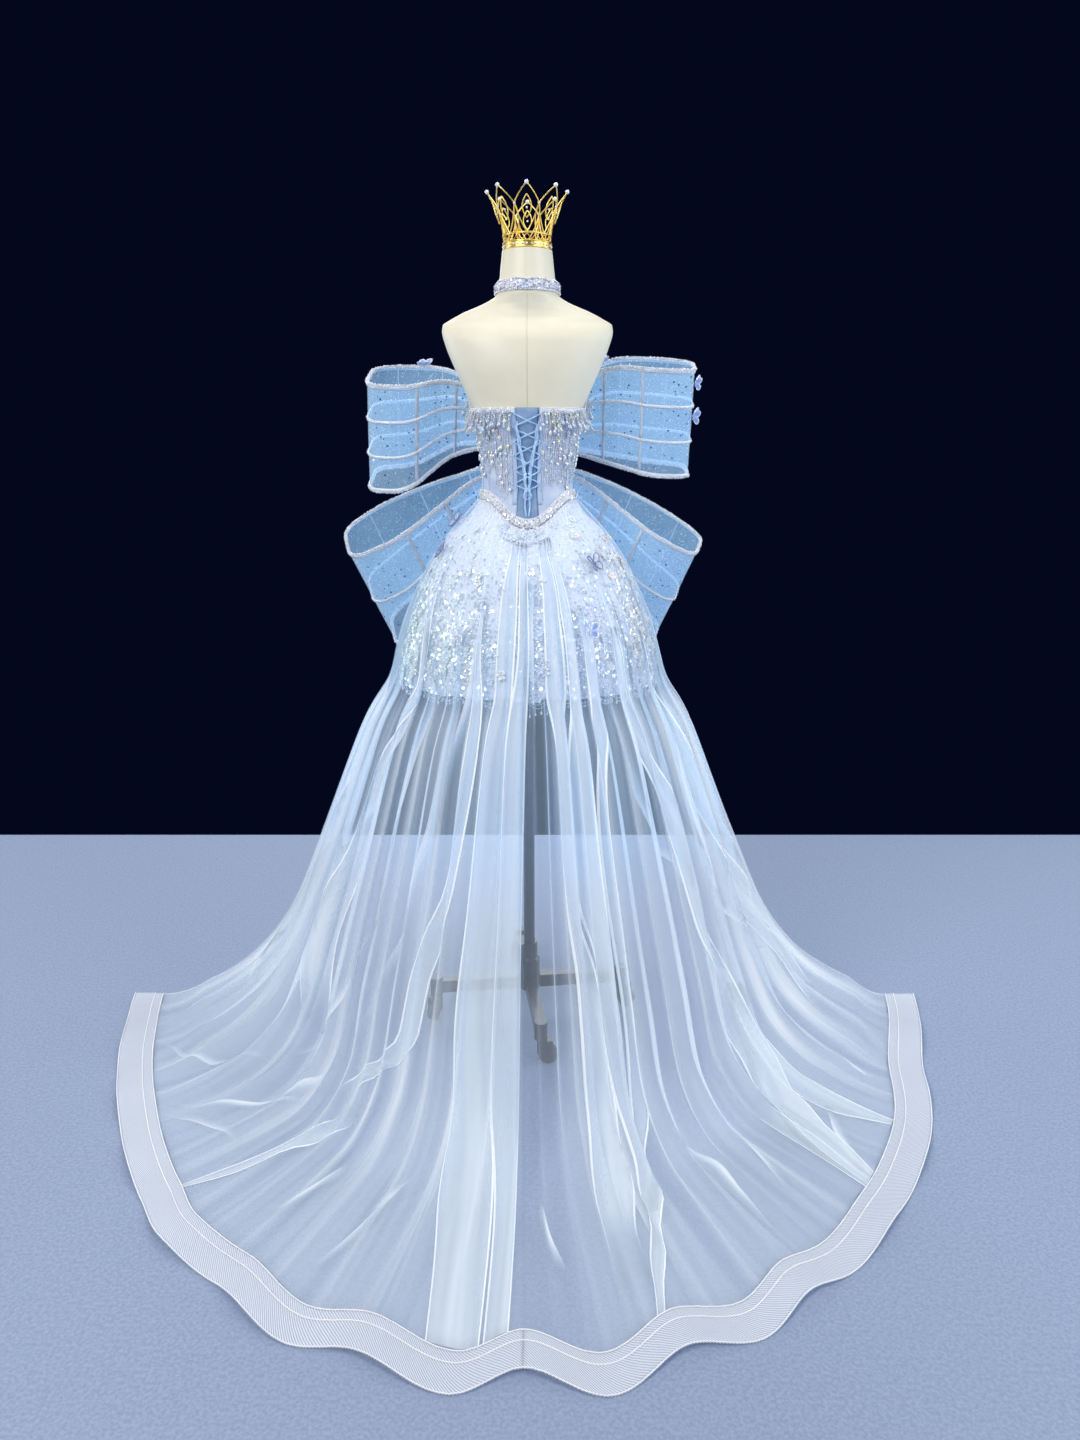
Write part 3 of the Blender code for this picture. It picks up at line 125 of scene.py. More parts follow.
# Train and braid
TRAIN_FROM, TRAIN_TO, TRAIN_FOLDS, LAST_ROW = -3.0, 183.0, 18, 10
BRAID_WIDE, BRAID_SEAM, BRAID_RISE, LOBE_AT, LOBE_EVERY = 0.078, 0.0010, 0.010, 84.0, 13.5
BRAID_INNER_RISE, BRAID_END_INNER, BRAID_END_OUTER, LAP_RIM = 0.35, 0.010, 0.003, 0.0020
CREASE_WIDE, TRAIN_LONG, GAP_AT, GAP_WIDE, THIN_AT, THIN_LONG = 0.024, 1.75, 92.5, 4.5, 0.37, 0.08

# Bow
LOOPS_Y, KNOT_Y, KNOT_HALF_WIDE, KNOT_HALF_DEEP = -0.1345, -0.1312, 0.040, 0.0327
KNOT_LOW, KNOT_TOP, KNOT_WALL, KNOT_SQUARENESS, KNOT_SWELL = 1.3238, 1.4427, 0.003, 5.0, 0.10
LOOP_START, LOOP_IN_KNOT, TAPE_HALF, TAPE_STEP, TAPE_WALL = 0.006, 0.021, 0.0034, 0.0075, 0.0016
CROSS_TAPES = (-0.74, -0.54, -0.34, 0.22, 0.47, 0.70)
LOOP_NAMES = ("upper_left", "upper_right", "lower_left", "lower_right")

# Gathers at the waist: how many to the turn, how far they stray, and how deep they are
GATHERS, GATHER_STRAY, GATHER_STEP, SKIRT_GATHER, BAND_GATHER = 76, 40, 9, 0.0011, 0.0009

# The train's uneven folds: size in degrees, rate and start of two slow waves
FOLD_WAVES = ((130, 3, 20), (80, 7, 0))
FLOOR_ROW, HOOK_LEAST, HOOK_MORE, HOOK_STEP = 7.0, 0.055, 0.085, 12.9
CREASE_RISE, TRAIN_STRAY, TULLE_LOWEST = 0.006, 0.004, 0.0008

# How much one wall of tulle hides, and the heights and covers between which its colour changes; the change
# with height is painted light, bluer where the net hangs and greyer where it lies low
COVER_FLOOR, COVER_HUNG, COVER_FROM, COVER_CHANGE, COVER_FLANK, COVER_GAP = 0.23, 0.13, 0.52, 0.12, 1.1, 0.6
COVER_THIN, FULL_FOLD, GAP_UNTIL, GAP_CHANGE = 0.05, 0.014, 0.64, 0.1
PAINTED_PALE_BELOW, PAINTED_BLUE_ABOVE, THIN_COVER, THICK_COVER = 0.45, 0.62, 0.18, 0.5
LAP_COVER, LAP_EDGE_COVER, CREASE_COVER = 0.34, 0.80, 0.46

# Bead strings and fringe
STRING_MARGIN, STRING_LIFT, STRING_TOP = 6.4, 0.0014, 0.004
BEAD_CHANCE, DROP_CHANCE, GREY_CHANCE = 0.86, 0.07, 0.9
FRINGE_MARGIN, FRINGE_SHORT, FRINGE_LONG, FRINGE_STEP = 1.0, 0.018, 0.043, 0.0042

# Distance between the beads of the bow's rims and of the skirt's hem
RIM_STEP, HEM_STEP = 0.0042, 0.0036

# A butterfly's body from head to tail: place along it, girth and tint of each bead
BODY_BEADS = ((0.30, 1.0, 0.2), (0.12, 1.15, 0.7), (-0.06, 1.0, 0.4), (-0.24, 0.85, 0.9), (-0.40, 0.6, 0.1))

# Seeds of the random draws
SEEDS = {"strings": 11, "fringe": 5, "skirt": 23, "rims": 40, "sequins": 60, "choker": 31}

# Bumps of threads and of glitter, and the width that smooths a flat sequin's edge
THREAD_HIGH, GRAIN_HIGH, SEQUIN_EDGE, SEQUIN_THICK = 0.0004, 0.0006, 20.0, 0.0004

# Choker and finial
CHOKER_LOW, CHOKER_TILT, CHOKER_HIGH, CHOKER_SCALLOP, CHOKER_WAVES = 1.7095, 0.0025, 0.020, 0.0035, 8
NECK_TOP, BAND_RADIUS, BAND_HIGH = 1.794, 0.050, 0.014
RING_AT, RING_RADIUS, VALLEY_AT, VALLEY_RADIUS = 1.823, 0.050, 1.875, 0.066
TIP_AT, TIP_RADIUS, FINIAL_POINTS = 1.9085, 0.084, 8

# The wires of half a leaf of the crown, each through three spots: part of a point, radius, height
LEAVES = (
    ((0.0, RING_RADIUS, RING_AT), (0.62, RING_RADIUS + 0.005, 1.846), (1.0, VALLEY_RADIUS, VALLEY_AT)),
    ((1.0, VALLEY_RADIUS, VALLEY_AT), (0.55, VALLEY_RADIUS + 0.008, 1.891), (0.0, TIP_RADIUS, TIP_AT)),
    ((1.0, RING_RADIUS, RING_AT), (0.8, 0.056, 1.851), (1.0, VALLEY_RADIUS, VALLEY_AT)),
    ((0.0, 0.058, 1.848), (0.35, 0.066, 1.868), (0.0, 0.073, 1.889)),
)
# The crown's pearls: part of a point, radius, height, size and tint
CROWN_PEARLS = (
    (0.0, TIP_RADIUS, TIP_AT, 1.0, 0.5),
    (0.5, VALLEY_RADIUS, VALLEY_AT, 0.62, 0.9),
    (0.0, 0.064, 1.866, 0.5, 0.2),
    *((part, BAND_RADIUS + 0.001, NECK_TOP + 0.008, 0.52, part) for part in (0.0, 0.25, 0.5, 0.75)),
)

# The stage: a floor sheet that ends a little way beyond the dress, seen from the camera
FLOOR_WIDE, FLOOR_DEEP, FLOOR_BEHIND = 12.0, 8.0, 1.21

# The photograph's camera, from the pole
CAMERA_FROM_POLE, CAMERA_PITCH, CAMERA_LENS = (-0.027, 2.298, 1.385), 15.0, 25.0


class Table:
    """Rows of sizes under named columns, read between rows by a curve that never overshoots."""

    def __init__(self, columns, rows):
        self.columns = columns.split()
        self.rows = rows
        self.keys = [row[0] for row in rows]

    def column(self, name):
        place = self.columns.index(name)
        return [row[place] for row in self.rows]

    def at(self, key, name):
        return smooth_through(self.keys, self.column(name), key)


FORM = Table(
    "height half_width front back roundness",
    (
        (1.050, 0.150, 0.100, 0.112, 2.2),
        (1.125, 0.152, 0.102, 0.118, 2.2),
        (1.200, 0.134, 0.094, 0.104, 2.2),
        (1.260, 0.112, 0.084, 0.089, 2.1),
        (1.314, 0.0965, 0.078, 0.078, 2.1),
        (1.390, 0.1025, 0.086, 0.078, 2.1),
        (1.432, 0.108, 0.092, 0.081, 2.1),
        (1.475, 0.120, 0.097, 0.085, 2.1),
        (1.515, 0.138, 0.094, 0.088, 2.1),
        (1.555, 0.156, 0.088, 0.090, 2.1),
        (1.609, 0.178, 0.075, 0.086, 2.1),
        (1.634, 0.184, 0.066, 0.076, 2.0),
        (1.648, 0.182, 0.055, 0.065, 1.8),
        (1.659, 0.165, 0.050, 0.058, 1.5),
        (1.673, 0.138, 0.051, 0.056, 1.4),
        (1.685, 0.108, 0.054, 0.058, 1.4),
        (1.695, 0.085, 0.058, 0.060, 1.6),
        (1.706, 0.068, 0.060, 0.062, 1.9),
        (1.722, 0.062, 0.059, 0.060, 2.0),
        (1.794, 0.0530, 0.0530, 0.0530, 2.0),
    ),
)

SKIRT = Table(
    "height radius",
    (
        (0.880, 0.296), (0.938, 0.289), (1.009, 0.268), (1.056, 0.250), (1.124, 0.224), (1.181, 0.190),
        (1.237, 0.155), (1.285, 0.116), (1.310, 0.106),
    ),
)

# The train's shape down from the waist: at its free edge, on the diagonal and at centre back. Down to
# SKIRT_ROWS it lies on the skirt, by the distance under clear.
DRAPE = Table(
    "row edge_r edge_z mid_r mid_z back_r back_z clear out lift lap",
    (
        (0, 0.000, 0.000, 0.000, 0.000, 0.000, 0.000, 0.0040, 0.000, 0.000, 0.00),
        (1, 0.000, 0.000, 0.000, 0.000, 0.000, 0.000, 0.0085, 0.003, 0.000, 0.35),
        (2, 0.000, 0.000, 0.000, 0.000, 0.000, 0.000, 0.0115, 0.005, 0.000, 0.70),
        (3, 0.000, 0.000, 0.000, 0.000, 0.000, 0.000, 0.0145, 0.007, 0.000, 0.90),
        (4, 0.000, 0.000, 0.000, 0.000, 0.000, 0.000, 0.0175, 0.010, 0.000, 1.00),
        (5, 0.372, 0.785, 0.356, 0.785, 0.345, 0.785, 0.0000, 0.014, 0.000, 1.00),
        (6, 0.492, 0.480, 0.455, 0.480, 0.440, 0.460, 0.0000, 0.020, 0.000, 1.00),
        (7, 0.590, 0.268, 0.515, 0.285, 0.512, 0.255, 0.0000, 0.019, 0.002, 1.00),
        (8, 0.700, 0.135, 0.570, 0.105, 0.592, 0.080, 0.0000, 0.013, 0.010, 0.90),
        (9, 0.830, 0.052, 0.690, 0.010, 0.750, 0.008, 0.0000, 0.004, 0.016, 0.60),
        (10, 0.965, 0.014, 0.925, 0.004, 0.985, 0.004, 0.0000, 0.000, 0.006, 0.00),
    ),
)
GORES = ((TRAIN_FROM, 45.0, "left_side"), (45.0, 90.0, "left_back"),
         (90.0, 135.0, "right_back"), (135.0, TRAIN_TO, "right_side"))

HEM = Table(
    "turn radius",
    (
        (-4.0, 1.040), (10.0, 0.998), (25.0, 0.984), (43.0, 1.008), (50.0, 1.031), (59.0, 1.035),
        (69.0, 1.077), (74.5, 1.058), (84.0, 1.102), (90.0, 1.059), (97.0, 1.107), (105.0, 1.050),
        (111.0, 1.071), (119.0, 1.030), (123.0, 1.036), (134.0, 1.009), (152.0, 0.979), (164.0, 0.955),
        (184.0, 1.012),
    ),
)

# One bow loop seen along its width, from the knot out along its back panel and home along its front one.
LOOP_PLAN = Table(
    "path along depth snug",
    (
        (-1.00, 0.00, 0.08, 0.08),
        (-0.86, 0.12, 0.09, 0.09),
        (-0.68, 0.30, 0.20, 0.10),
        (-0.48, 0.52, 0.66, 0.38),
        (-0.27, 0.76, 1.00, 1.00),
        (-0.12, 0.93, 0.86, 0.92),
        (-0.04, 0.99, 0.42, 0.46),
        (0.04, 0.99, -0.42, -0.42),
        (0.12, 0.94, -0.84, -0.84),
        (0.27, 0.78, -1.00, -1.00),
        (0.48, 0.54, -0.78, -0.78),
        (0.68, 0.31, -0.40, -0.40),
        (0.86, 0.12, -0.22, -0.22),
        (1.00, 0.00, -0.20, -0.20),
    ),
)
LOOP_REACH = Table(
    "along up down_0 down_1 down_2 down_3",
    (
        (0.00, 0.00, 0.00, 0.00, 0.00, 0.00),
        (0.12, 0.00, 0.00, 0.00, 0.00, 0.00),
        (0.28, 0.55, 0.00, 0.13, 0.30, 0.30),
        (0.45, 0.93, 0.12, 0.43, 0.52, 0.52),
        (0.60, 1.00, 0.52, 0.70, 0.70, 0.70),
        (0.70, 1.00, 0.82, 0.89, 0.82, 0.82),
        (0.82, 1.00, 0.98, 1.00, 0.94, 0.94),
        (1.00, 1.00, 1.00, 1.00, 1.00, 1.00),
    ),
)
LOOPS = Table(
    "number side start_z drop lean tilt length near far up down rows depth grip",
    (
        (0, 1, 1.4140, -0.3, -4.0, 18.0, 0.364, 0.095, 0.080, 0.144, 0.096, 3, "snug", 0.0210),
        (1, -1, 1.4140, 3.2, -0.7, 18.0, 0.373, 0.039, 0.058, 0.184, 0.058, 3, "depth", 0.0227),
        (2, 1, 1.3680, 27.6, 18.8, 30.5, 0.477, 0.085, 0.080, 0.030, 0.262, 2, "depth", 0.0210),
        (3, -1, 1.3680, 31.1, 18.0, 33.0, 0.457, 0.058, 0.048, 0.044, 0.259, 2, "depth", 0.0210),
    ),
)
ON_TRAIN = Table(
    "turn share size roll finish",
    (
        (8.0, 0.948, 0.021, 4.0, "blue"),
        (22.0, 0.888, 0.021, -25.0, "blue"),
        (59.0, 0.730, 0.020, 10.0, "white"),
        (132.0, 0.874, 0.019, 15.0, "blue"),
        (118.0, 0.744, 0.018, -10.0, "blue"),
    ),
)
OUTLINED = (1, 2, 4)
ON_BOW = Table(
    "loop path share size",
    (
        (0, 0.36, 1.0, 0.016),
        (1, -0.03, 0.87, 0.015),
        (1, -0.03, 0.56, 0.017),
        (1, 0.56, 1.0, 0.017),
    ),
)

# Laps of the train's tulle that lie double, from the floor up: share, and the turns of their two edges
LAPS = (
    ((0.00, 81.0, 86.0), (0.15, 76.0, 85.0), (0.33, 73.0, 82.0), (0.45, 74.0, 83.0), (0.62, 77.5, 85.0),
     (0.82, 77.0, 85.5), (0.97, 80.0, 85.0)),
    ((0.00, 86.3, 88.6), (0.12, 85.3, 89.0), (0.35, 82.4, 89.0), (0.50, 83.4, 90.0), (0.74, 86.0, 91.0),
     (0.97, 86.0, 90.0)),
    ((0.03, 100.0, 104.0), (0.22, 102.0, 108.8), (0.34, 102.0, 106.8), (0.45, 100.6, 104.0),
     (0.64, 98.0, 106.0), (0.83, 98.0, 105.6), (0.97, 97.0, 102.0)),
    ((0.00, 103.0, 104.0), (0.15, 109.0, 112.0), (0.34, 107.2, 111.0), (0.44, 104.4, 110.0),
     (0.60, 106.4, 112.0), (0.83, 106.0, 110.0), (0.97, 103.0, 106.0)),
    ((0.08, 108.0, 109.0), (0.20, 112.4, 114.4), (0.31, 113.0, 116.0), (0.44, 112.6, 116.0),
     (0.59, 116.0, 120.0), (0.80, 114.0, 117.0)),
    ((0.15, 48.0, 50.4), (0.20, 50.6, 54.0), (0.27, 60.0, 64.6), (0.33, 60.6, 65.2), (0.42, 66.0, 71.0),
     (0.50, 70.0, 73.0), (0.82, 67.4, 69.4)),
    ((0.00, 136.0, 138.6), (0.08, 139.0, 145.0), (0.18, 143.4, 148.8), (0.28, 141.0, 147.0),
     (0.35, 138.0, 144.0), (0.42, 137.0, 142.6), (0.52, 131.0, 135.0), (0.74, 131.6, 134.0)),
    ((0.00, 149.0, 150.2), (0.08, 146.0, 151.0), (0.17, 146.8, 152.0), (0.28, 145.6, 148.0)),
    ((0.00, 43.8, 44.3), (0.04, 45.3, 47.0), (0.09, 47.6, 50.6), (0.16, 52.0, 56.0)),
    ((0.00, 135.4, 137.2), (0.06, 136.4, 139.2), (0.13, 136.8, 139.4)),
    ((0.16, 165.0, 172.0), (0.26, 166.0, 176.0), (0.36, 160.0, 168.0), (0.50, 151.0, 156.0),
     (0.72, 148.0, 151.0)),
    ((0.22, 30.0, 36.0), (0.33, 24.0, 33.0), (0.45, 30.0, 36.0), (0.62, 40.0, 43.0), (0.85, 36.0, 38.0)),
)

# Thin creases of the train as places of turn and share
CREASES = (
    ((28, 0.86), (50, 0.62), (50, 0.47), (47, 0.41), (51, 0.33)),
    ((58, 0.84), (60, 0.61), (60, 0.47), (58, 0.42), (52, 0.31), (45, 0.18)),
    ((42, 0.74), (41, 0.60), (41, 0.51), (35, 0.45), (24, 0.40), (27, 0.33)),
    ((3, 0.29), (9, 0.17)),
    ((46, 0.37), (40, 0.26), (32, 0.16)),
    ((10, 0.01), (20, 0.08), (29, 0.16)),
    ((27, 0.02), (34, 0.09), (42, 0.14)),
    ((28, 0.00), (35, 0.04), (42, 0.05)),
    ((34, 0.09), (44, 0.21)),
    ((144, 0.80), (151, 0.57), (147, 0.46), (151, 0.37), (163, 0.29), (174, 0.16)),
    ((160, 0.60), (163, 0.45), (171, 0.38), (177, 0.26), (176, 0.16), (179, 0.08)),
    ((123, 0.82), (122, 0.61), (126, 0.46), (138, 0.40), (145, 0.28), (150, 0.17), (150, 0.08),
     (150, 0.01)),
    ((146, 0.28), (146, 0.17), (140, 0.08), (136, 0.01)),
    ((147, 0.07), (142, 0.04), (137, 0.01)),
    ((116, 0.18), (122, 0.11), (122, 0.06), (121, 0.02)),
    ((69, 0.06), (72, 0.12)),
    ((66, 0.02), (70, 0.09)),
    ((106, 0.14), (106, 0.05)),
    ((16, 0.86), (14, 0.66), (17, 0.48), (10, 0.38), (6, 0.22)),
    ((70, 0.90), (66, 0.72), (64, 0.55), (62, 0.44)),
    ((94, 0.93), (93, 0.74), (94, 0.52)),
    ((127, 0.92), (132, 0.74), (134, 0.56), (139, 0.40)),
    ((136, 0.90), (141, 0.72), (142, 0.54), (148, 0.42)),
    ((155, 0.88), (158, 0.70), (156, 0.52)),
    ((170, 0.84), (168, 0.66), (172, 0.52)),
    ((36, 0.92), (33, 0.76), (36, 0.62)),
    ((92, 0.12), (95, 0.05)),
    ((60, 0.10), (56, 0.03)),
    ((160, 0.10), (158, 0.03)),
    ((130, 0.12), (127, 0.04)),
)

# Clusters of sequins on the skirt
CLUSTERS = Table(
    "turn wide share tall count tint",
    (
        (17.0, 9.0, 0.28, 0.17, 900, 0.06),
        (46.0, 8.0, 0.22, 0.14, 380, 0.14),
        (66.0, 6.0, 0.20, 0.12, 220, 0.30),
        (90.0, 3.4, 0.34, 0.24, 520, 0.42),
        (112.0, 5.0, 0.22, 0.13, 260, 0.52),
        (132.0, 7.0, 0.20, 0.12, 260, 0.62),
        (161.0, 9.0, 0.30, 0.17, 760, 0.84),
        (205.0, 12.0, 0.26, 0.16, 420, 0.40),
        (245.0, 12.0, 0.24, 0.16, 420, 0.30),
        (290.0, 12.0, 0.24, 0.16, 420, 0.20),
        (335.0, 12.0, 0.26, 0.16, 420, 0.12),
    ),
)
BODICE_PANELS = (
    (-157.5, -112.5, "front_right"),
    (-112.5, -67.5, "front_centre"),
    (-67.5, -22.5, "front_left"),
    (-22.5, 33.75, "side_left"),
    (33.75, 79.0, "back_left"),
    (101.0, 146.25, "back_right"),
    (146.25, 202.5, "side_right"),
)


def smooth_through(keys, values, key):
    if key <= keys[0]:
        return values[0]
    if key >= keys[-1]:
        return values[-1]
    last = len(keys) - 1
    step = max(index for index in range(last) if keys[index] <= key)

    def grade(index):
        return (values[index + 1] - values[index]) / (keys[index + 1] - keys[index])

    def slope(index):
        if index in (0, last):
            return grade(min(index, last - 1))
        before, after = grade(index - 1), grade(index)
        return 2 * before * after / (before + after) if before * after > 0 else 0.0

    span = keys[step + 1] - keys[step]
    part = (key - keys[step]) / span
    rise = part * part * (3 - 2 * part)
    start = part * (1 - part) ** 2 * span * slope(step)
    end = part * part * (part - 1) * span * slope(step + 1)
    return values[step] + rise * (values[step + 1] - values[step]) + start + end


def ease(part):
    part = min(1.0, max(0.0, part))
    return part * part * (3 - 2 * part)


def between(low, high, part):
    return low + (high - low) * part


def heading(turn):
    return Vector((cos_of(turn), sin_of(turn), 0.0))


def spread(low, high, cells):
    return [between(low, high, cell / cells) for cell in range(cells + 1)]


def all_round(cells):
    """Even turns the whole way round, without the last, which is the first again."""
    return spread(0.0, 360.0, cells)[:-1]


def sin_of(degrees):
    return math.sin(math.radians(degrees))


def cos_of(degrees):
    return math.cos(math.radians(degrees))


def tipped(away, chance, by):
    """A direction tipped a little at random."""
    return (away + Vector([chance.uniform(-by, by) for _ in range(3)])).normalized()


def half_seam(radius=WAIST_RADIUS):
    return math.degrees(SEAM / 2 / radius)


def wander(x, y, seed=0.0):
    """A smooth uneven value between about -1 and 1."""
    return noise.noise(Vector((x, y, seed)))


# Finishes

class Finish:
    """A material whose shader is fed by a few texture nodes."""

    def __init__(self, name, colour, roughness, **sockets):
        self.material = bpy.data.materials.new(name)
        self.material.use_nodes = True
        self.tree = self.material.node_tree
        self.shader = self.tree.nodes["Principled BSDF"]
        self.shader.inputs["Base Color"].default_value = (*colour, 1.0)
        self.shader.inputs["Roughness"].default_value = roughness
        for socket, value in sockets.items():
            self.shader.inputs[socket.replace("_", " ")].default_value = value

    def node(self, kind, settings=None, **inputs):
        made = self.tree.nodes.new("ShaderNode" + kind)
        for name, value in (settings or {}).items():
            setattr(made, name, value)
        for name, value in inputs.items():
            self.plug(made.inputs[name.replace("_", " ")], value)
        return made

    def plug(self, socket, value):
        """Links a socket to an output, or sets it to a number or a colour."""
        if isinstance(value, bpy.types.NodeSocket):
            self.tree.links.new(value, socket)
        else:
            socket.default_value = value

    def feed(self, socket, value):
        self.tree.links.new(value, self.shader.inputs[socket])
        return self

    def place(self, source="Object", scale=(1.0, 1.0, 1.0)):
        where = self.node("TexCoord").outputs[source]
        return self.node("Mapping", Vector=where, Scale=scale).outputs["Vector"]

    def ramp(self, value, stops, sharp=False):
        ramp = self.node("ValToRGB", Fac=value)
        ramp.color_ramp.interpolation = "CONSTANT" if sharp else "LINEAR"
        while len(ramp.color_ramp.elements) < len(stops):
            ramp.color_ramp.elements.new(0.5)
        for element, (position, colour) in zip(ramp.color_ramp.elements, stops):
            element.position = position
            element.color = (*colour, 1.0) if len(colour) == 3 else colour
        return ramp.outputs["Color"]

    def clouded(self, dark, light, scale):
        cloud = self.node("TexNoise", Vector=self.place(), Scale=scale, Detail=3.0, Roughness=0.6)
        return self.ramp(cloud.outputs["Fac"], ((0.35, dark), (0.65, light)))

    def mottled(self, dark, light, scale):
        """Soft uneven colour between two tones."""
        return self.feed("Base Color", self.clouded(dark, light, scale))

    def tinted(self, stops):
        """Colour by each small piece's own tint."""
        tint = self.node("Attribute", {"attribute_name": "tint"}).outputs["Fac"]
        return self.feed("Base Color", self.ramp(tint, stops))

    def bump(self, height, strength, distance):
        rise = self.node("Bump", Height=height, Strength=strength, Distance=distance)
        return self.feed("Normal", rise.outputs["Normal"])

    def grained(self, scale, detail, strength, distance):
        """Fine uneven bump."""
        grain = self.node("TexNoise", Vector=self.place(), Scale=scale, Detail=detail)
        return self.bump(grain.outputs["Fac"], strength, distance)

    def worked_out(self, operation, *values, clamp=False):
        """One number from two."""
        made = self.node("Math", {"operation": operation, "use_clamp": clamp})
        for socket, value in zip(made.inputs, values):
            self.plug(socket, value)
        return made.outputs["Value"]

    def bands(self, direction, where, scale, stray=0.0):
        kind = {"wave_type": "BANDS", "bands_direction": direction}
        return self.node("TexWave", kind, Vector=where, Scale=scale, Distortion=stray).outputs["Fac"]

    def woven(self, threads, strength=0.25):
        """Two crossing sets of threads, as many to the metre as given."""
        where = self.place("UV")
        sets = [self.bands(direction, where, threads / 2) for direction in ("X", "Y")]
        return self.bump(self.worked_out("ADD", *sets), strength, THREAD_HIGH)

    def blend(self, share, low, high, kind="MIX"):
        """One colour from two, mixed by a number or a socket."""
        mix = self.node("Mix", {"data_type": "RGBA", "blend_type": kind})
        for place, value in zip((0, 6, 7), (share, low, high)):
            self.plug(mix.inputs[place], value)
        return mix.outputs[2]

    def streaked(self, across, along, hem, waist, thick):
        """Alpha from the cloth's cover, uneven in long streaks as gathered net is.

        The colour changes with height from the hem's to the waist's, which is painted light: the net is
        bluer where it hangs and greyer where it lies low. It turns to the thick one with the cover.
        """
        where = self.place("UV", (across, along, 1.0))
        cloud = self.node("TexNoise", Vector=where, Scale=1.0, Detail=2.0, Roughness=0.5).outputs["Fac"]
        streak = self.node("MapRange", Value=cloud, From_Min=0.3, From_Max=0.7, To_Min=0.68, To_Max=1.34)
        cover = self.node("Attribute", {"attribute_name": "cover"}).outputs["Fac"]
        hidden = self.worked_out("MULTIPLY", cover, streak.outputs["Result"], clamp=True)
        height = self.node("SeparateXYZ", Vector=self.place()).outputs["Z"]
        heavy = self.node("MapRange", Value=hidden, From_Min=THIN_COVER, From_Max=THICK_COVER)
        # Painted light: the thin net's colour by height, greyer low down and bluer higher up, for how light
        # falls on it
        thin = self.ramp(height, ((PAINTED_PALE_BELOW, hem), (PAINTED_BLUE_ABOVE, waist)))
        self.feed("Base Color", self.blend(heavy.outputs["Result"], thin, (*thick, 1.0)))
        return self.feed("Alpha", hidden)

    def specked(self, dark, light, cover, grain):
        """Sheer mottled cloth with fine bright glitter that lets nothing through."""
        ground = self.clouded(dark, light, 9.0)
        cells = self.node("TexVoronoi", Vector=self.place(), Scale=grain)
        dot = self.ramp(cells.outputs["Distance"], ((0.20, (1.0,) * 3), (0.26, (0.0,) * 3)))
        red = self.node("SeparateColor", Color=cells.outputs["Color"]).outputs["Red"]
        picked = self.ramp(red, ((0.0, (0.0,) * 3), (0.86, (1.0,) * 3)), sharp=True)
        fleck = self.blend(1.0, dot, picked, "MULTIPLY")
        self.feed("Base Color", self.blend(fleck, ground, (0.95, 0.98, 1.0, 1.0)))
        hide = self.node("MapRange", Value=fleck, To_Min=cover, To_Max=1.0)
        return self.feed("Alpha", hide.outputs["Result"])

    def glittered(self, stops, grain, strength=0.6):
        """Small flat grains that each have a colour and a tilt of their own."""
        cells = self.node("TexVoronoi", Vector=self.place(), Scale=grain)
        pick = self.node("SeparateColor", Color=cells.outputs["Color"])
        self.feed("Base Color", self.ramp(pick.outputs["Red"], stops, sharp=True))
        return self.bump(pick.outputs["Green"], strength, GRAIN_HIGH)


# Making pieces

def ride(thing, slot, *nodes):
    """Hands a finished piece to the frame and hides the nodes it stands for. The slot is not used."""
    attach(thing, "root")
    if nodes:
        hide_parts(*nodes)


def add_mesh(name, bm, finish, smooth_angle=None):
    mesh = bpy.data.meshes.new(name)
    bm.to_mesh(mesh)
    bm.free()
    return add_object(name, mesh, finish, smooth_angle)


def add_object(name, mesh, finish, smooth_angle=None):
    mesh.transform(Matrix.Translation(PIVOT))
    mesh.materials.append(finish.material)
    mesh.shade_smooth()
    if smooth_angle is not None:
        mesh.set_sharp_from_angle(angle=math.radians(smooth_angle))
    thing = bpy.data.objects.new(name, mesh)
    bpy.context.scene.collection.objects.link(thing)
    return thing


def cloth(name, place, across, up, wall, finish, flip=False, keep=None, weld=False, cover=None):
    """A cloth shell over a grid of steps, with its UV map in metres and its cut size kept on it."""
    bm = bmesh.new()
    columns, rows = len(across) - 1, len(up) - 1
    uv = bm.loops.layers.uv.new("cloth")
    veil = bm.verts.layers.float.new("cover")
    bmesh.ops.create_grid(bm, x_segments=columns, y_segments=rows, size=0.5)
    steps = {}
    for vertex in bm.verts:
        steps[vertex] = (round((vertex.co.x + 0.5) * columns), round((vertex.co.y + 0.5) * rows))
    if keep:
        spare = []
        for face in bm.faces:
            column, row = [min(steps[vertex][way] for vertex in face.verts) for way in (0, 1)]
            if not keep(column, row):
                spare.append(face)
        bmesh.ops.delete(bm, geom=spare, context="FACES")
    spots = np.zeros((rows + 1, columns + 1, 3))
    for vertex in bm.verts:
        column, row = steps[vertex]
        vertex.co = place(across[column], up[row])
        vertex[veil] = cover(across[column], up[row]) if cover else 1.0
        spots[row, column] = vertex.co
    wide = np.linalg.norm(np.diff(spots, axis=1), axis=2).sum(axis=1).max() if keep is None else 1.0
    long = np.linalg.norm(np.diff(spots, axis=0), axis=2).sum(axis=0).max() if keep is None else 1.0
    for face in bm.faces:
        for loop in face.loops:
            column, row = steps[loop.vert]
            loop[uv].uv = (column / columns * wide, row / rows * long)
    area = sum(face.calc_area() for face in bm.faces)
    if weld:
        bmesh.ops.remove_doubles(bm, verts=bm.verts, dist=1e-6)
    if flip:
        bmesh.ops.reverse_faces(bm, faces=bm.faces)
    thing = add_mesh(name, bm, finish)
    thing["cut"] = (float(wide), float(long), float(area))
    shell = thing.modifiers.new("wall", "SOLIDIFY")
    shell.thickness = wall
    shell.offset = 1.0
    return thing


def sewn(thing, slot, nodes, held):
    """Hands a cloth piece to the frame and hides the nodes it stands for."""
    ride(thing, slot, *nodes)
    wide, long, area = thing["cut"]
    area = min(area, wide * long)


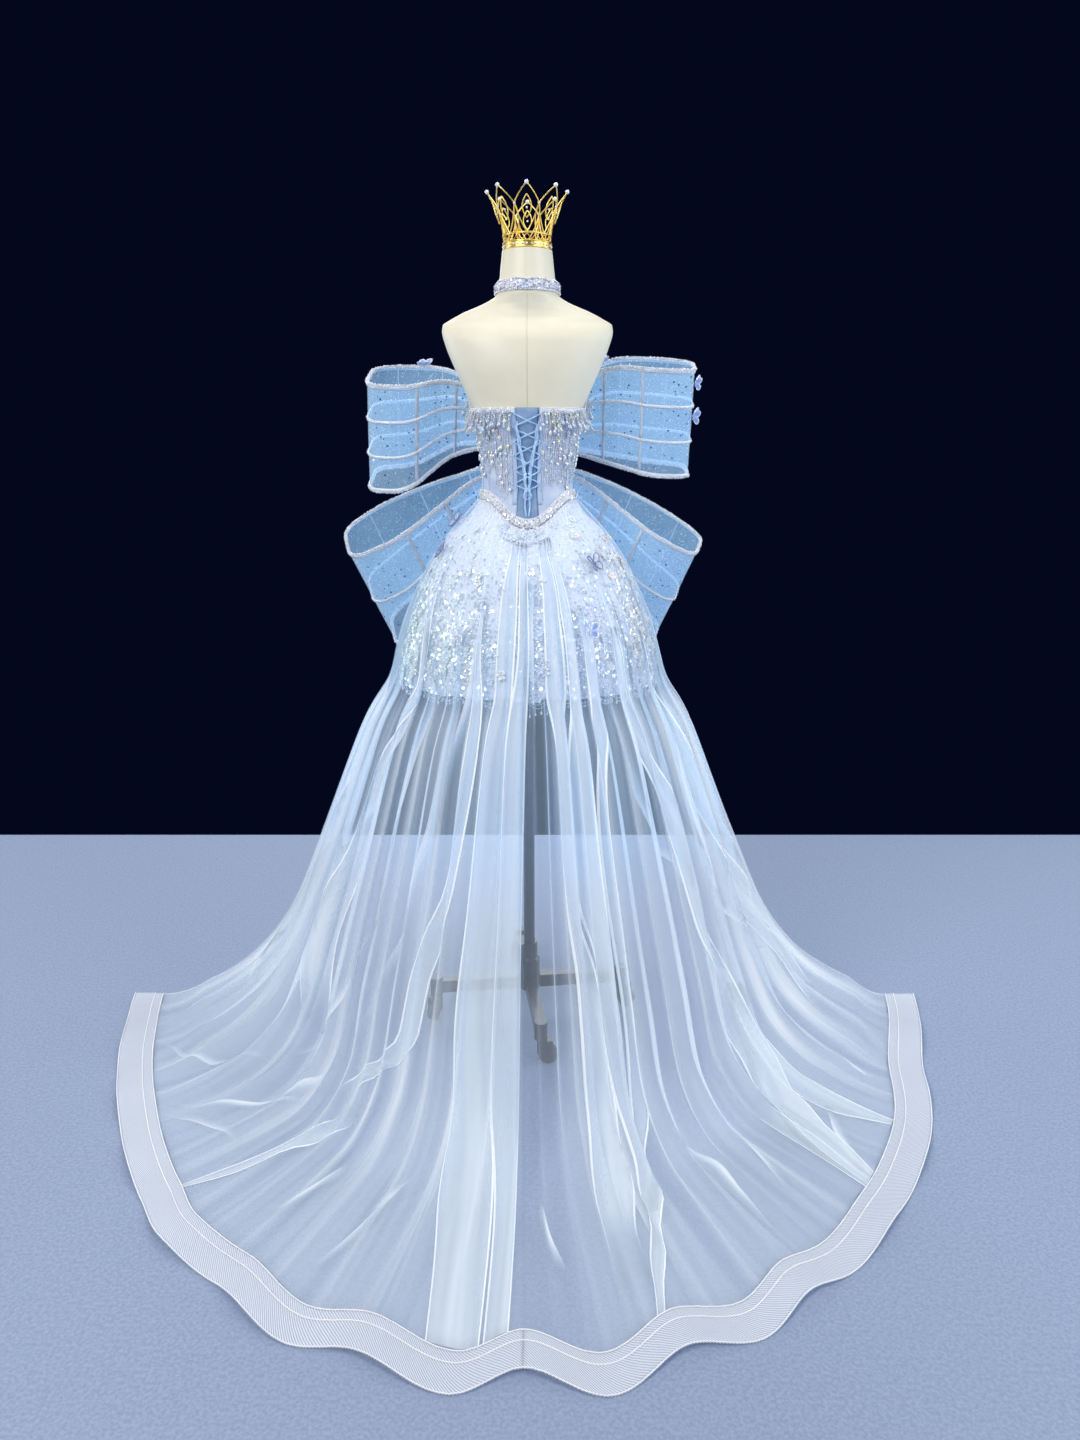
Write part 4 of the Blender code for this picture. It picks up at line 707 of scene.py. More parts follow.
def wire(name, runs, radius, finish, closed=False, sides=2):
    """Round cords through lists of points, as one curve."""
    line = bpy.data.curves.new(name, "CURVE")
    line.dimensions = "3D"
    line.bevel_depth = radius
    line.bevel_resolution = sides
    line.use_fill_caps = True
    line.materials.append(finish.material)
    for points in runs:
        run = line.splines.new("POLY")
        run.points.add(len(points) - 1)
        run.use_cyclic_u = closed
        for point, spot in zip(run.points, points):
            point.co = (*(spot + PIVOT), 1.0)
    thing = bpy.data.objects.new(name, line)
    bpy.context.scene.collection.objects.link(thing)
    return thing


def bead_shape(sides, rings, radius, length=None):
    bm = bmesh.new()
    bmesh.ops.create_uvsphere(bm, u_segments=sides, v_segments=rings, radius=radius)
    if length:
        bmesh.ops.scale(bm, vec=(1.0, 1.0, length / (2 * radius)), verts=bm.verts)
    return bm


def pearl_shape(radius):
    bm = bmesh.new()
    bmesh.ops.create_icosphere(bm, subdivisions=2, radius=radius)
    return bm


def sequin_shape(radius):
    """A shallow five-sided dish that stands on its narrow side."""
    bm = bmesh.new()
    bmesh.ops.create_cone(
        bm, cap_ends=True, segments=5, radius1=radius * 0.7, radius2=radius, depth=SEQUIN_THICK,
        matrix=Matrix.Translation((0.0, 0.0, SEQUIN_THICK / 2)),
    )
    return bm


def flower_shape(radius):
    """Five flat rounded petals round a small dome."""
    bm = bmesh.new()
    for petal in range(5):
        turn = Matrix.Rotation(math.tau * petal / 5, 4, "Z")
        lift = Matrix.Rotation(math.radians(-24), 4, "Y")
        away = Matrix.Translation((radius * 0.58, 0.0, 0.0012))
        size = Matrix.Diagonal((radius * 0.52, radius * 0.40, radius * 0.07, 1.0))
        place = turn @ lift @ away @ size
        bmesh.ops.create_uvsphere(bm, u_segments=5, v_segments=3, radius=1.0, matrix=place)
    dome = Matrix.Translation((0.0, 0.0, radius * 0.12)) @ Matrix.Diagonal((1.0, 1.0, 0.8, 1.0))
    bmesh.ops.create_uvsphere(bm, u_segments=5, v_segments=3, radius=radius * 0.22, matrix=dome)
    return bm


# What is strewn over the dress: its slot, its shape, and the shape's sizes in metres. A bead's sizes are its
# sides, rings, radius and length.
TRIMS = {
    "finial_pearls": ("finial_gold", pearl_shape, 0.0044),
    "bead_strings": ("crystal_strings", bead_shape, 5, 2, 0.0016, 0.0040),
    "bead_drops": ("crystal_strings", bead_shape, 7, 4, 0.0031, 0.0100),
    "fringe_beads": ("crystal_strings", bead_shape, 5, 3, 0.0017, 0.0040),
    "fringe_drops": ("crystal_strings", bead_shape, 8, 5, 0.0032, 0.0100),
    "edge_pearls": ("crystal_strings", bead_shape, 7, 5, 0.0019),
    "skirt_flowers": ("lace_sequined", flower_shape, 0.0105),
    "skirt_sequins": ("lace_sequined", sequin_shape, 0.0034),
    "hem_beads": ("crystal_strings", bead_shape, 5, 2, 0.0015, 0.0034),
    "hem_drops": ("crystal_strings", bead_shape, 6, 4, 0.0022, 0.0074),
    "waist_flowers": ("lace_sequined", flower_shape, 0.0080),
    "rim": ("tape_silver_white", bead_shape, 5, 2, 0.0026),
    "sequins": ("organza_sky_blue", sequin_shape, 0.0027),
    "choker_pearls": ("lace_sequined", bead_shape, 7, 5, 0.0022),
    "choker_blooms": ("lace_sequined", flower_shape, 0.0086),
    "choker_sequins": ("lace_sequined", sequin_shape, 0.0024),
}
UP = Vector((0.0, 0.0, 1.0))


def perch(point, out, along=UP, size=1.0, spin=0.0):
    """The place of a small piece: its Z axis points out of the cloth, and its X axis along it."""
    up = out.normalized()
    side = along - up * along.dot(up)
    if side.length < 1e-6:
        side = up.orthogonal()
    side.normalize()
    turned = Matrix((side, up.cross(side), up)).transposed().to_4x4()
    return Matrix.Translation(point) @ turned @ Matrix.Rotation(spin, 4, "Z") @ Matrix.Scale(size, 4)


def strew(name, shape, places, finish, smooth_angle=None):
    """Copies of one small shape at many places as one mesh, each with its tint from 0 to 1."""
    corners = np.array([vertex.co[:] for vertex in shape.verts])
    faces = [[vertex.index for vertex in face.verts] for face in shape.faces]
    shape.free()
    matrices = np.array([matrix for matrix, _ in places])
    points = np.einsum("kij,nj->kni", matrices[:, :3, :3], corners) + matrices[:, None, :3, 3]
    joined = []
    for copy in range(len(places)):
        joined += [[corner + copy * len(corners) for corner in face] for face in faces]
    mesh = bpy.data.meshes.new(name)
    mesh.from_pydata(points.reshape(-1, 3).tolist(), [], joined)
    tint = mesh.attributes.new("tint", "FLOAT", "POINT")
    tints = np.repeat([value for _, value in places], len(corners))
    tint.data.foreach_set("value", tints.astype(np.float32))
    return add_object(name, mesh, finish, smooth_angle)


def trim(name, places, finish, kind=None):
    """Strews one of the trims and hands it to the frame."""
    slot, shape, *size = TRIMS[kind or name]
    ride(strew(name, shape(*size), places, finish, SEQUIN_EDGE if shape is sequin_shape else None), slot)


def normal_of(place, a, b, step_a, step_b):
    along = place(a + step_a, b) - place(a - step_a, b)
    up = place(a, b + step_b) - place(a, b - step_b)
    return along.cross(up).normalized()


def strung(points, every):
    """Even places along a line through points, each with the line's direction there."""
    made, carried = [], 0.0
    for start, end in zip(points, points[1:]):
        step = end - start
        length = step.length
        while carried <= length:
            made.append((start + step * (carried / length), step.normalized()))
            carried += every
        carried -= length
    return made


def bent(points):
    """A smooth line through three points."""
    start, middle, end = points
    bow = middle * 2 - (start + end) / 2
    return [start * (1 - t) ** 2 + bow * 2 * t * (1 - t) + end * t * t for t in spread(0.0, 1.0, 10)]


def rounded(points, cells):
    """A smooth line through all the points."""
    spots = [points[0], *points, points[-1]]
    made = []
    for before, start, end, after in zip(spots, spots[1:], spots[2:], spots[3:]):
        bow = before * 2 - start * 5 + end * 4 - after
        twist = start * 3 - before - end * 3 + after
        for t in spread(0.0, 1.0, cells)[:-1]:
            made.append(0.5 * (start * 2 + (end - before) * t + bow * t * t + twist * t * t * t))
    return [*made, points[-1]]


# Surfaces

def form_skin(turn, height, out=0.0):
    """The dress form's skin, moved outward level."""

    def skin(angle):
        part = 2.0 / FORM.at(height, "roundness")
        cosine, sine = math.cos(angle), math.sin(angle)
        depth = FORM.at(height, "back" if sine > 0 else "front")
        x = FORM.at(height, "half_width") * math.copysign(abs(cosine) ** part, cosine)
        y = depth * math.copysign(abs(sine) ** part, sine)
        if sine < 0:
            side = (abs(x) - BUST_APART / 2) / BUST_WIDE
            rise = (height - BUST_AT) / BUST_TALL
            y -= BUST_OUT * math.exp(-side * side - rise * rise) * abs(sine)
        return Vector((x, y, height))

    angle = math.radians(turn)
    point = skin(angle)
    if out:
        along = skin(angle + 0.01) - skin(angle - 0.01)
        point += Vector((along.y, -along.x, 0.0)).normalized() * out
    return point


def bodice_top(turn):
    forward = ease(-sin_of(turn) * BODICE_RISE)
    x = FORM.at(BODICE_BACK_TOP, "half_width") * cos_of(turn)
    dip = BODICE_DIP * math.exp(-((x / BODICE_DIP_WIDE) ** 2))
    return BODICE_BACK_TOP + forward * (BODICE_CUP_TOP - BODICE_BACK_TOP - dip)


def bodice_skin(turn, share, out=FORM_CLEARANCE):
    return form_skin(turn, between(BODICE_LOW, bodice_top(turn), share), out)


def waist_edge(turn):
    across = FORM.at(WAIST_AT, "half_width") * cos_of(turn)
    behind = sin_of(turn) > 0
    dip = WAIST_DIP * (1 - ease(abs(across) / WAIST_DIP_HALF)) if behind else 0.0
    return WAIST_AT - dip


def skirt_hem(turn):
    behind = max(0.0, sin_of(turn))
    scallop = SCALLOP * abs(sin_of(turn * SCALLOPS / 2))
    return between(SKIRT_HEM_SIDE, SKIRT_HEM_BACK, behind) - scallop


def skirt_top(turn):
    return waist_edge(turn) - WAISTBAND_HIGH - SEAM - HEADING


def skirt_surface(turn, height, out):
    """A point of the skirt without its folds, at a height below the waistband."""
    top = skirt_top(turn)
    share = (top - height) / (top - SKIRT_HEM_BACK)
    band = form_skin(turn, height, FORM_CLEARANCE + BODICE_WALL + LAYER)
    sine = sin_of(turn)
    pressed = 1 - (PRESSED_BACK if sine > 0 else PRESSED_FRONT) * sine * sine
    dome = heading(turn) * SKIRT.at(height, "radius") * pressed
    dome.z = height
    return band.lerp(dome, ease(share / SKIRT_SWELL)) + heading(turn) * out


def gathered(turn, share):
    return cos_of(turn * GATHERS + GATHER_STRAY * wander(turn / GATHER_STEP, share))


def skirt_skin(turn, share, out=0.0):
    """The skirt with its soft folds and the fine gathers under its waistband."""
    height = between(skirt_hem(turn), skirt_top(turn), share)
    fold = SKIRT_FOLD * max(0.0, 1 - share) ** 0.8 * cos_of(turn * SKIRT_FOLDS)
    return skirt_surface(turn, height, fold + SKIRT_GATHER * share * gathered(turn, share * 2) + out)


def waistband_skin(turn, share, out=0.0):
    height = waist_edge(turn) - WAISTBAND_HIGH * (1 - share)
    lift = FORM_CLEARANCE + BODICE_WALL + LAYER + BAND_GATHER * gathered(turn, share)
    return form_skin(turn, height, lift + out)


def fold_phase(turn):
    """Degrees of fold passed at a turn: the folds are uneven in width."""
    phase = turn * TRAIN_FOLDS * 360 / 180
    for size, rate, start in FOLD_WAVES:
        phase += size * sin_of(turn * rate + start)
    return phase


@lru_cache(maxsize=None)
def train_profile(turn):
    """Distances from the pole and heights of the unfolded train, row by row, at a turn."""
    away = abs(turn - 90) / 90
    if away < 0.5:
        first, second, part = "back", "mid", ease(away / 0.5)
    else:
        first, second, part = "mid", "edge", ease((away - 0.5) / 0.5)
    radii, heights = [], []
    for number in range(LAST_ROW + 1):
        height = between(DRAPE.at(number, first + "_z"), DRAPE.at(number, second + "_z"), part)
        radius = between(DRAPE.at(number, first + "_r"), DRAPE.at(number, second + "_r"), part)
        if number <= SKIRT_ROWS:
            height = between(skirt_top(turn), SKIRT_HEM_BACK, number / SKIRT_ROWS)
            surface = skirt_surface(turn, height, DRAPE.at(number, "clear"))
            radius = math.hypot(surface.x, surface.y)
        if number == LAST_ROW:
            radius = HEM.at(turn, "radius") - BRAID_WIDE - BRAID_SEAM
        radii.append(radius)
        heights.append(height)
    return tuple(radii), tuple(heights)


@lru_cache(maxsize=None)
def drape_row(row):
    return tuple(DRAPE.at(row, name) for name in ("out", "lift", "lap"))


def braid_height(turn, share):
    rise = BRAID_RISE * (0.5 - 0.5 * math.cos(math.tau * (turn - LOBE_AT) / LOBE_EVERY))
    edge = ease(abs(turn - 90) / 90 * 4 - 3)
    flare = edge * between(BRAID_END_INNER, BRAID_END_OUTER, share)
    return rise * between(BRAID_INNER_RISE, 1.0, share) + flare


def train_skin(turn, share, lift=0.0):
    """The train's tulle: folds that lap over themselves, and soft rises where it lies on the floor."""
    row = LAST_ROW * (1 - share)
    numbers = range(LAST_ROW + 1)
    out, rise, lap = drape_row(round(row, 3))
    angle = math.radians(fold_phase(turn))
    fold = math.cos(angle)
    depth = 0.75 + 0.25 * sin_of(turn * 5 + 40)
    width = 360.0 / (fold_phase(turn + 0.5) - fold_phase(turn - 0.5))
    number = math.floor(angle / math.pi + 0.5)
    hook = HOOK_LEAST + HOOK_MORE * (0.5 + 0.5 * math.sin(number * HOOK_STEP))
    near_edge = min(turn - TRAIN_FROM, TRAIN_TO - turn)
    swung = turn + width * hook * lap * math.sin(2 * angle) * ease(near_edge / 4)
    radii, heights = train_profile(round(turn, 4))
    flat = ease((row - FLOOR_ROW) / 2.0)
    radius = smooth_through(numbers, radii, row) + out * fold * depth + lift * (1 - flat)
    height = smooth_through(numbers, heights, row) + rise * (0.5 + 0.5 * fold) * depth
    floor_part = ease((row - FLOOR_ROW) / 1.5) * ease((LAST_ROW - row) / 0.6)
    height += floor_part * CREASE_RISE * (0.5 + 0.5 * math.cos(3 * angle + 2 * wander(turn / 6, row)))
    radius += TRAIN_STRAY * wander(turn / 3, row * 1.2, 4.0) * ease(row / 3)
    if row > LAST_ROW - 1:
        height = between(height, braid_height(turn, 0.0), row - LAST_ROW + 1)
    around = heading(swung) * radius
    if row < SKIRT_ROWS:
        surface = skirt_surface(turn, height, 0.0)
        outward = Vector((surface.x, surface.y, 0.0)).normalized()
        around = (outward * radius).lerp(around, row / SKIRT_ROWS)
    return Vector((around.x, around.y, max(height, TULLE_LOWEST) + lift * flat))


def tulle_cover(turn, share):
    """How much one wall of the tulle hides: more where it is gathered, and where a fold turns away."""
    out = drape_row(round(LAST_ROW * (1 - share), 3))[0]
    flank = abs(sin_of(fold_phase(turn))) ** 3 * min(1.0, out / FULL_FOLD)
    gap = math.exp(-(((turn - GAP_AT) / GAP_WIDE) ** 2)) * ease((GAP_UNTIL - share) / GAP_CHANGE)
    thin = COVER_THIN * math.exp(-(((share - THIN_AT) / THIN_LONG) ** 2))
    base = between(COVER_FLOOR, COVER_HUNG, ease((share - COVER_FROM) / COVER_CHANGE))
    return (base - thin) * (1 + COVER_FLANK * flank) * (1 - COVER_GAP * gap)


def braid_skin(turn, share, lift=0.0):
    """The braid from its inner seam at 0 to the hem's edge at 1."""
    outer = HEM.at(turn, "radius")
    around = heading(turn) * between(outer - BRAID_WIDE, outer, share)
    ripple = 0.0008 * wander(turn * 2, share * 3, 7.0)
    return Vector((around.x, around.y, max(0.0, braid_height(turn, share) + ripple) + lift))


@lru_cache(maxsize=None)
def loop_sizes(number):
    return dict(zip(LOOPS.columns, LOOPS.rows[number]))


@lru_cache(maxsize=None)
def loop_axes(number):
    """The loop's own directions: out along it, across its band, and towards the wearer's back."""
    sizes = loop_sizes(number)
    drop, lean, tilt = [math.radians(sizes[name]) for name in ("drop", "lean", "tilt")]
    side = sizes["side"]
    along = Vector((side * math.cos(drop), 0.0, -math.sin(drop)))
    level = math.cos(tilt)
    across = Vector((side * math.sin(lean) * level, math.sin(tilt), math.cos(lean) * level))
    return along, across, along.cross(across).normalized() * -side


def loop_middle(number, path):
    sizes = loop_sizes(number)
    along, _, back = loop_axes(number)
    start = Vector((sizes["side"] * LOOP_START, LOOPS_Y, sizes["start_z"]))
    depth = LOOP_PLAN.at(path, sizes["depth"])
    depth *= sizes["near"] if depth > 0 else sizes["far"]
    return start + along * LOOP_PLAN.at(path, "along") * sizes["length"] + back * depth


@lru_cache(maxsize=None)
def loop_station(number, path):
    """The band's middle, its reach up and down, and the direction out of it at a place round the loop."""
    sizes = loop_sizes(number)
    across = loop_axes(number)[1]
    reach = LOOP_PLAN.at(path, "along")
    up = between(sizes["grip"], sizes["up"], LOOP_REACH.at(reach, "up"))
    down = between(LOOP_IN_KNOT, sizes["down"], LOOP_REACH.at(reach, f"down_{number}"))
    run = loop_middle(number, path + 0.01) - loop_middle(number, path - 0.01)
    return loop_middle(number, path), up, down, run.cross(across).normalized() * -sizes["side"]


def loop_skin(number, path, share, metres=0.0, out=0.0):
    """A point of the loop's cloth; the share runs from 0 at its lower rim to 1 at its upper one."""
    middle, up, down, away = loop_station(number, round(path, 5))
    across = loop_axes(number)[1]
    wrinkle = 0.0012 * wander(path * 9, share * 3, number * 5.0) * math.sin(math.pi * share)
    return middle + across * (between(-down, up, share) + metres) + away * (out + wrinkle)


# Pieces

class DressSizes(bpy.types.PropertyGroup):
    """Sizes and colours that a maker of this dress would change."""

    organza: bpy.props.FloatVectorProperty(
        name="Organza", description="Colour of the bow's organza",
        default=(0.42, 0.68, 0.96), size=3, min=0.0, max=1.0, subtype="COLOR",
    )
    organza_cover: bpy.props.FloatProperty(
        name="Organza cover", description="How much one layer of organza hides",
        default=0.25, min=0.0, max=1.0, subtype="FACTOR",
    )
    # The tulle's colour where it hangs; its change with height to a paler grey is painted light
    tulle: bpy.props.FloatVectorProperty(
        name="Tulle", description="Colour of the train's tulle",
        default=(0.56, 0.76, 1.0), size=3, min=0.0, max=1.0, subtype="COLOR",
    )
    string_gap: bpy.props.FloatProperty(
        name="String gap", description="Distance between the bodice's bead strings",
        default=0.0058, min=0.003, max=0.02, unit="LENGTH", precision=4,
    )
    bead_gap: bpy.props.FloatProperty(
        name="Bead gap", description="Distance between the beads of one string",
        default=0.0034, min=0.002, max=0.01, unit="LENGTH", precision=4,
    )
    loop_sequins: bpy.props.IntProperty(
        name="Loop sequins", description="Sequins on each loop of the bow", default=420, min=0, max=900,
    )
    skirt_sequins: bpy.props.IntProperty(
        name="Skirt sequins", description="Sequins strewn on the skirt", default=1800, min=0, max=6000,
    )
    key_power: bpy.props.FloatProperty(
        name="Key light", description="Power of the main soft light", default=122.0, min=0.0, unit="POWER",
    )


def sizes():
    return bpy.context.scene.dress_sizes


# Painted glow: an emission colour that stands in for light that sheer cloth scatters through itself
TULLE_PAINTED_GLOW = (0.60, 0.78, 1.0, 1.0)
PEARL_STOPS = ((0.0, (0.93, 0.94, 0.98)), (0.5, (0.80, 0.86, 0.97)), (1.0, (0.99, 0.97, 0.93)))
CRYSTAL_STOPS = (
    (0.0, (0.96, 0.98, 1.0)), (0.35, (0.62, 0.73, 0.92)), (0.7, (0.94, 0.97, 1.0)),
    (0.90, (0.95, 0.98, 0.74)), (0.95, (1.0, 0.84, 0.76)), (1.0, (0.97, 0.82, 0.96)),
)
SILVER_STOPS = (
    (0.0, (0.95, 0.97, 1.0)), (0.3, (0.72, 0.80, 0.94)), (0.55, (0.98, 0.99, 1.0)),
    (0.8, (0.85, 0.90, 0.99)),
)
DARK_STOPS = (
    (0.0, (0.05, 0.10, 0.30)), (0.35, (0.12, 0.22, 0.52)), (0.6, (0.80, 0.90, 1.0)), (1.0, (0.95, 0.98, 1.0)),
)


class DRESS_OT_form(bpy.types.Operator):
    """Model the dress form's torso with its centre-back seam"""

    bl_idname = "dress.form"
    bl_label = "Dress form"

    def execute(self, context):
        ivory = Finish("form_ivory", (0.84, 0.80, 0.64), 0.5, Coat_Weight=0.12)
        ivory.mottled((0.81, 0.77, 0.61), (0.87, 0.83, 0.68), 7.0)
        ivory.grained(900.0, 2.0, 0.12, 0.0004)
        heights = sorted({round(height, 4) for low, high in zip(FORM.keys, FORM.keys[1:])
                          for height in spread(low, high, 4)})
        turns = spread(-90.0, 270.0, 144)

        def skin(turn, height):
            groove = 0.0011 * math.exp(-(((turn - 90) / 1.3) ** 2))
            return form_skin(turn, height, -0.00001 - groove)

        bm = bmesh.new()
        columns, rows = len(turns) - 1, len(heights) - 1
        bmesh.ops.create_grid(bm, x_segments=columns, y_segments=rows, size=0.5)
        for vertex in bm.verts:
            column, row = round((vertex.co.x + 0.5) * columns), round((vertex.co.y + 0.5) * rows)
            vertex.co = skin(turns[column], heights[row])
        bmesh.ops.remove_doubles(bm, verts=bm.verts, dist=1e-6)
        bmesh.ops.holes_fill(bm, edges=[edge for edge in bm.edges if edge.is_boundary], sides=0)
        bmesh.ops.recalc_face_normals(bm, faces=bm.faces)
        ride(add_mesh("dress_form", bm, ivory, 50.0), "form_cream", "form_torso")
        thread = Finish("form_seam", (0.66, 0.62, 0.48), 0.6)
        thread.mottled((0.60, 0.56, 0.42), (0.72, 0.68, 0.55), 300.0)
        seam = [form_skin(90.0, height, -0.0008) for height in spread(BODICE_BACK_TOP - 0.02, 1.705, 60)]
        ride(wire("form_seam", [seam], 0.0006, thread, sides=1), "form_cream")
        return {"FINISHED"}


class DRESS_OT_finial(bpy.types.Operator):
    """Model the gold crown finial: its band, rings, leaf-shaped points and pearls"""

    bl_idname = "dress.finial"
    bl_label = "Crown finial"

    def execute(self, context):
        gold = Finish("finial_gold", (1.0, 0.70, 0.16), 0.3, Metallic=0.9)
        gold.mottled((0.97, 0.63, 0.11), (1.0, 0.79, 0.26), 60.0)
        pearl = Finish("finial_pearls", (0.95, 0.93, 0.90), 0.18, Coat_Weight=0.6).tinted(PEARL_STOPS)

        def spot(step, radius, height):
            return heading(90 + 360 * step / FINIAL_POINTS) * radius + UP * height

        def ring(radius, height, wave=0.0, waves=0):
            points = []
            for turn in all_round(96):
                points.append(heading(turn) * radius + UP * (height + wave * cos_of(turn * waves)))
            return points

        band = bmesh.new()
        top = NECK_TOP + BAND_HIGH
        profile = [(0.0, NECK_TOP), (BAND_RADIUS, NECK_TOP), (BAND_RADIUS, top), (0.0, top)]
        verts = [band.verts.new((radius, 0.0, height)) for radius, height in profile]
        edges = [band.edges.new(pair) for pair in zip(verts, verts[1:])]
        turned = {"cent": (0, 0, 0), "axis": UP, "angle": math.tau, "steps": 64, "use_merge": True}
        bmesh.ops.spin(band, geom=verts + edges, **turned)
        bmesh.ops.remove_doubles(band, verts=band.verts, dist=1e-5)
        bmesh.ops.recalc_face_normals(band, faces=band.faces)
        ride(add_mesh("finial_band", band, gold, 40.0), "finial_gold", "form_finial")

        proud = BAND_RADIUS + 0.0008
        rings = [ring(proud, NECK_TOP + 0.0022), ring(proud, top), ring(RING_RADIUS, RING_AT)]
        ride(wire("finial_rings", rings, 0.0016, gold, closed=True), "finial_gold")
        waves = [ring(RING_RADIUS, (top + RING_AT) / 2, 0.005, 16)]
        ride(wire("finial_wave", waves, 0.0010, gold, closed=True), "finial_gold")
        leaves, places = [], []
        for step in range(FINIAL_POINTS):
            for side in (-0.5, 0.5):
                for leaf in LEAVES:
                    leaves.append(bent([spot(step + side * part, *place) for part, *place in leaf]))
            for part, radius, height, size, tint in CROWN_PEARLS:
                places.append((perch(spot(step + part, radius, height), heading(0), size=size), tint))
        ride(wire("finial_leaves", leaves, 0.0013, gold), "finial_gold")
        trim("finial_pearls", places, pearl)
        return {"FINISHED"}


class DRESS_OT_stand(bpy.types.Operator):
    """Finish the pole, hub, legs and casters of the stand"""

    bl_idname = "dress.stand"
    bl_label = "Rolling stand"

    def execute(self, context):
        black = Finish("stand_satin_black", (0.010, 0.013, 0.022), 0.42, Coat_Weight=0.2)
        black.mottled((0.007, 0.009, 0.016), (0.016, 0.020, 0.032), 30.0)
        black.grained(700.0, 3.0, 0.15, 0.0003)
        tread = Finish("wheel_tread", (0.03, 0.03, 0.033), 0.6)
        tread.mottled((0.02, 0.02, 0.022), (0.05, 0.05, 0.054), 90.0)
        for name, node in frame["nodes"].items():
            if not name.startswith(("stand_", "caster_")):
                continue
            finish = tread if name.startswith("caster_wheel") else black
            node.data.materials.clear()
            node.data.materials.append(finish.material)
            node.data.shade_smooth()
            node.data.set_sharp_from_angle(angle=math.radians(32))
            edge = node.modifiers.new("edges", "BEVEL")
            edge.width = 0.0008
            edge.segments = 2
            edge.limit_method = "ANGLE"
            edge.angle_limit = math.radians(40)
        return {"FINISHED"}


class DRESS_OT_bodice(bpy.types.Operator):
    """Model the corset's panels, its back plackets and the strings of beads over them"""

    bl_idname = "dress.bodice"
    bl_label = "Corset bodice"

    def execute(self, context):
        satin = Finish("bodice_satin", (0.44, 0.57, 0.82), 0.42, Sheen_Weight=0.3, Specular_IOR_Level=0.6)
        satin.mottled((0.46, 0.58, 0.82), (0.66, 0.75, 0.91), 26.0)
        satin.woven(900.0)
        gap, rows = half_seam(), spread(0.0, 1.0, 30)
        for low, high, name in BODICE_PANELS:
            turns = spread(low + gap, high - gap, 14)
            panel = cloth(f"corset_{name}", bodice_skin, turns, rows, BODICE_WALL, satin)
            sewn(panel, "bodice_beaded", [f"bodice_{name}"], "stretched")
        self.plackets()
        self.strings()
        return {"FINISHED"}

    def plackets(self):
        pale = Finish("placket_satin", (0.36, 0.53, 0.90), 0.35, Sheen_Weight=0.4)
        pale.mottled((0.40, 0.56, 0.85), (0.52, 0.67, 0.93), 40.0)
        pale.woven(1100.0)

        def skin(turn, share):
            return bodice_skin(turn, share, FORM_CLEARANCE + BODICE_WALL + 0.0002)

        for name, low, high in (("left", 73.4, LACING_LEFT - 0.4), ("right", LACING_RIGHT + 0.4, 106.6)):
            turns, rows = spread(low, high, 4), spread(0.22, 0.995, 30)
            strip = cloth(f"placket_{name}", skin, turns, rows, 0.0009, pale)
            sewn(strip, "bodice_beaded", [], "stretched")

    def strings(self):
        glass = Finish("bead_strings", (0.85, 0.90, 0.98), 0.16, Metallic=0.55, Coat_Weight=0.4)
        glass.tinted(CRYSTAL_STOPS)
        chance = random.Random(SEEDS["strings"])
        places, drops = [], []
        out = FORM_CLEARANCE + BODICE_WALL + STRING_LIFT
        step = math.degrees(sizes().string_gap / WAIST_RADIUS)
        turn = LACING_RIGHT + STRING_MARGIN
        while turn < 360 + LACING_LEFT - STRING_MARGIN:
            height, low = bodice_top(turn) - STRING_TOP, waist_edge(turn) + chance.uniform(0.001, 0.05)
            while height > low:
                sway = chance.uniform(-0.5, 0.5)
                point = form_skin(turn + sway, height, out)
                away = (point - form_skin(turn, height, 0.0)).normalized()
                tint = chance.random() ** 1.7 if chance.random() < GREY_CHANCE else chance.uniform(0.8, 1.0)
                if chance.random() < BEAD_CHANCE:
                    places.append((perch(point, UP, away, chance.uniform(0.75, 1.15)), tint))
                if chance.random() < DROP_CHANCE * (0.25 + 0.75 * ease((height - WAIST_AT) / 0.10)):
                    drops.append((perch(point + away * 0.0022, UP, away, chance.uniform(0.8, 1.3)), tint))
                height -= sizes().bead_gap
            turn += step * chance.uniform(0.85, 1.15)
        trim("bead_strings", places, glass)
        trim("bead_drops", drops, glass)


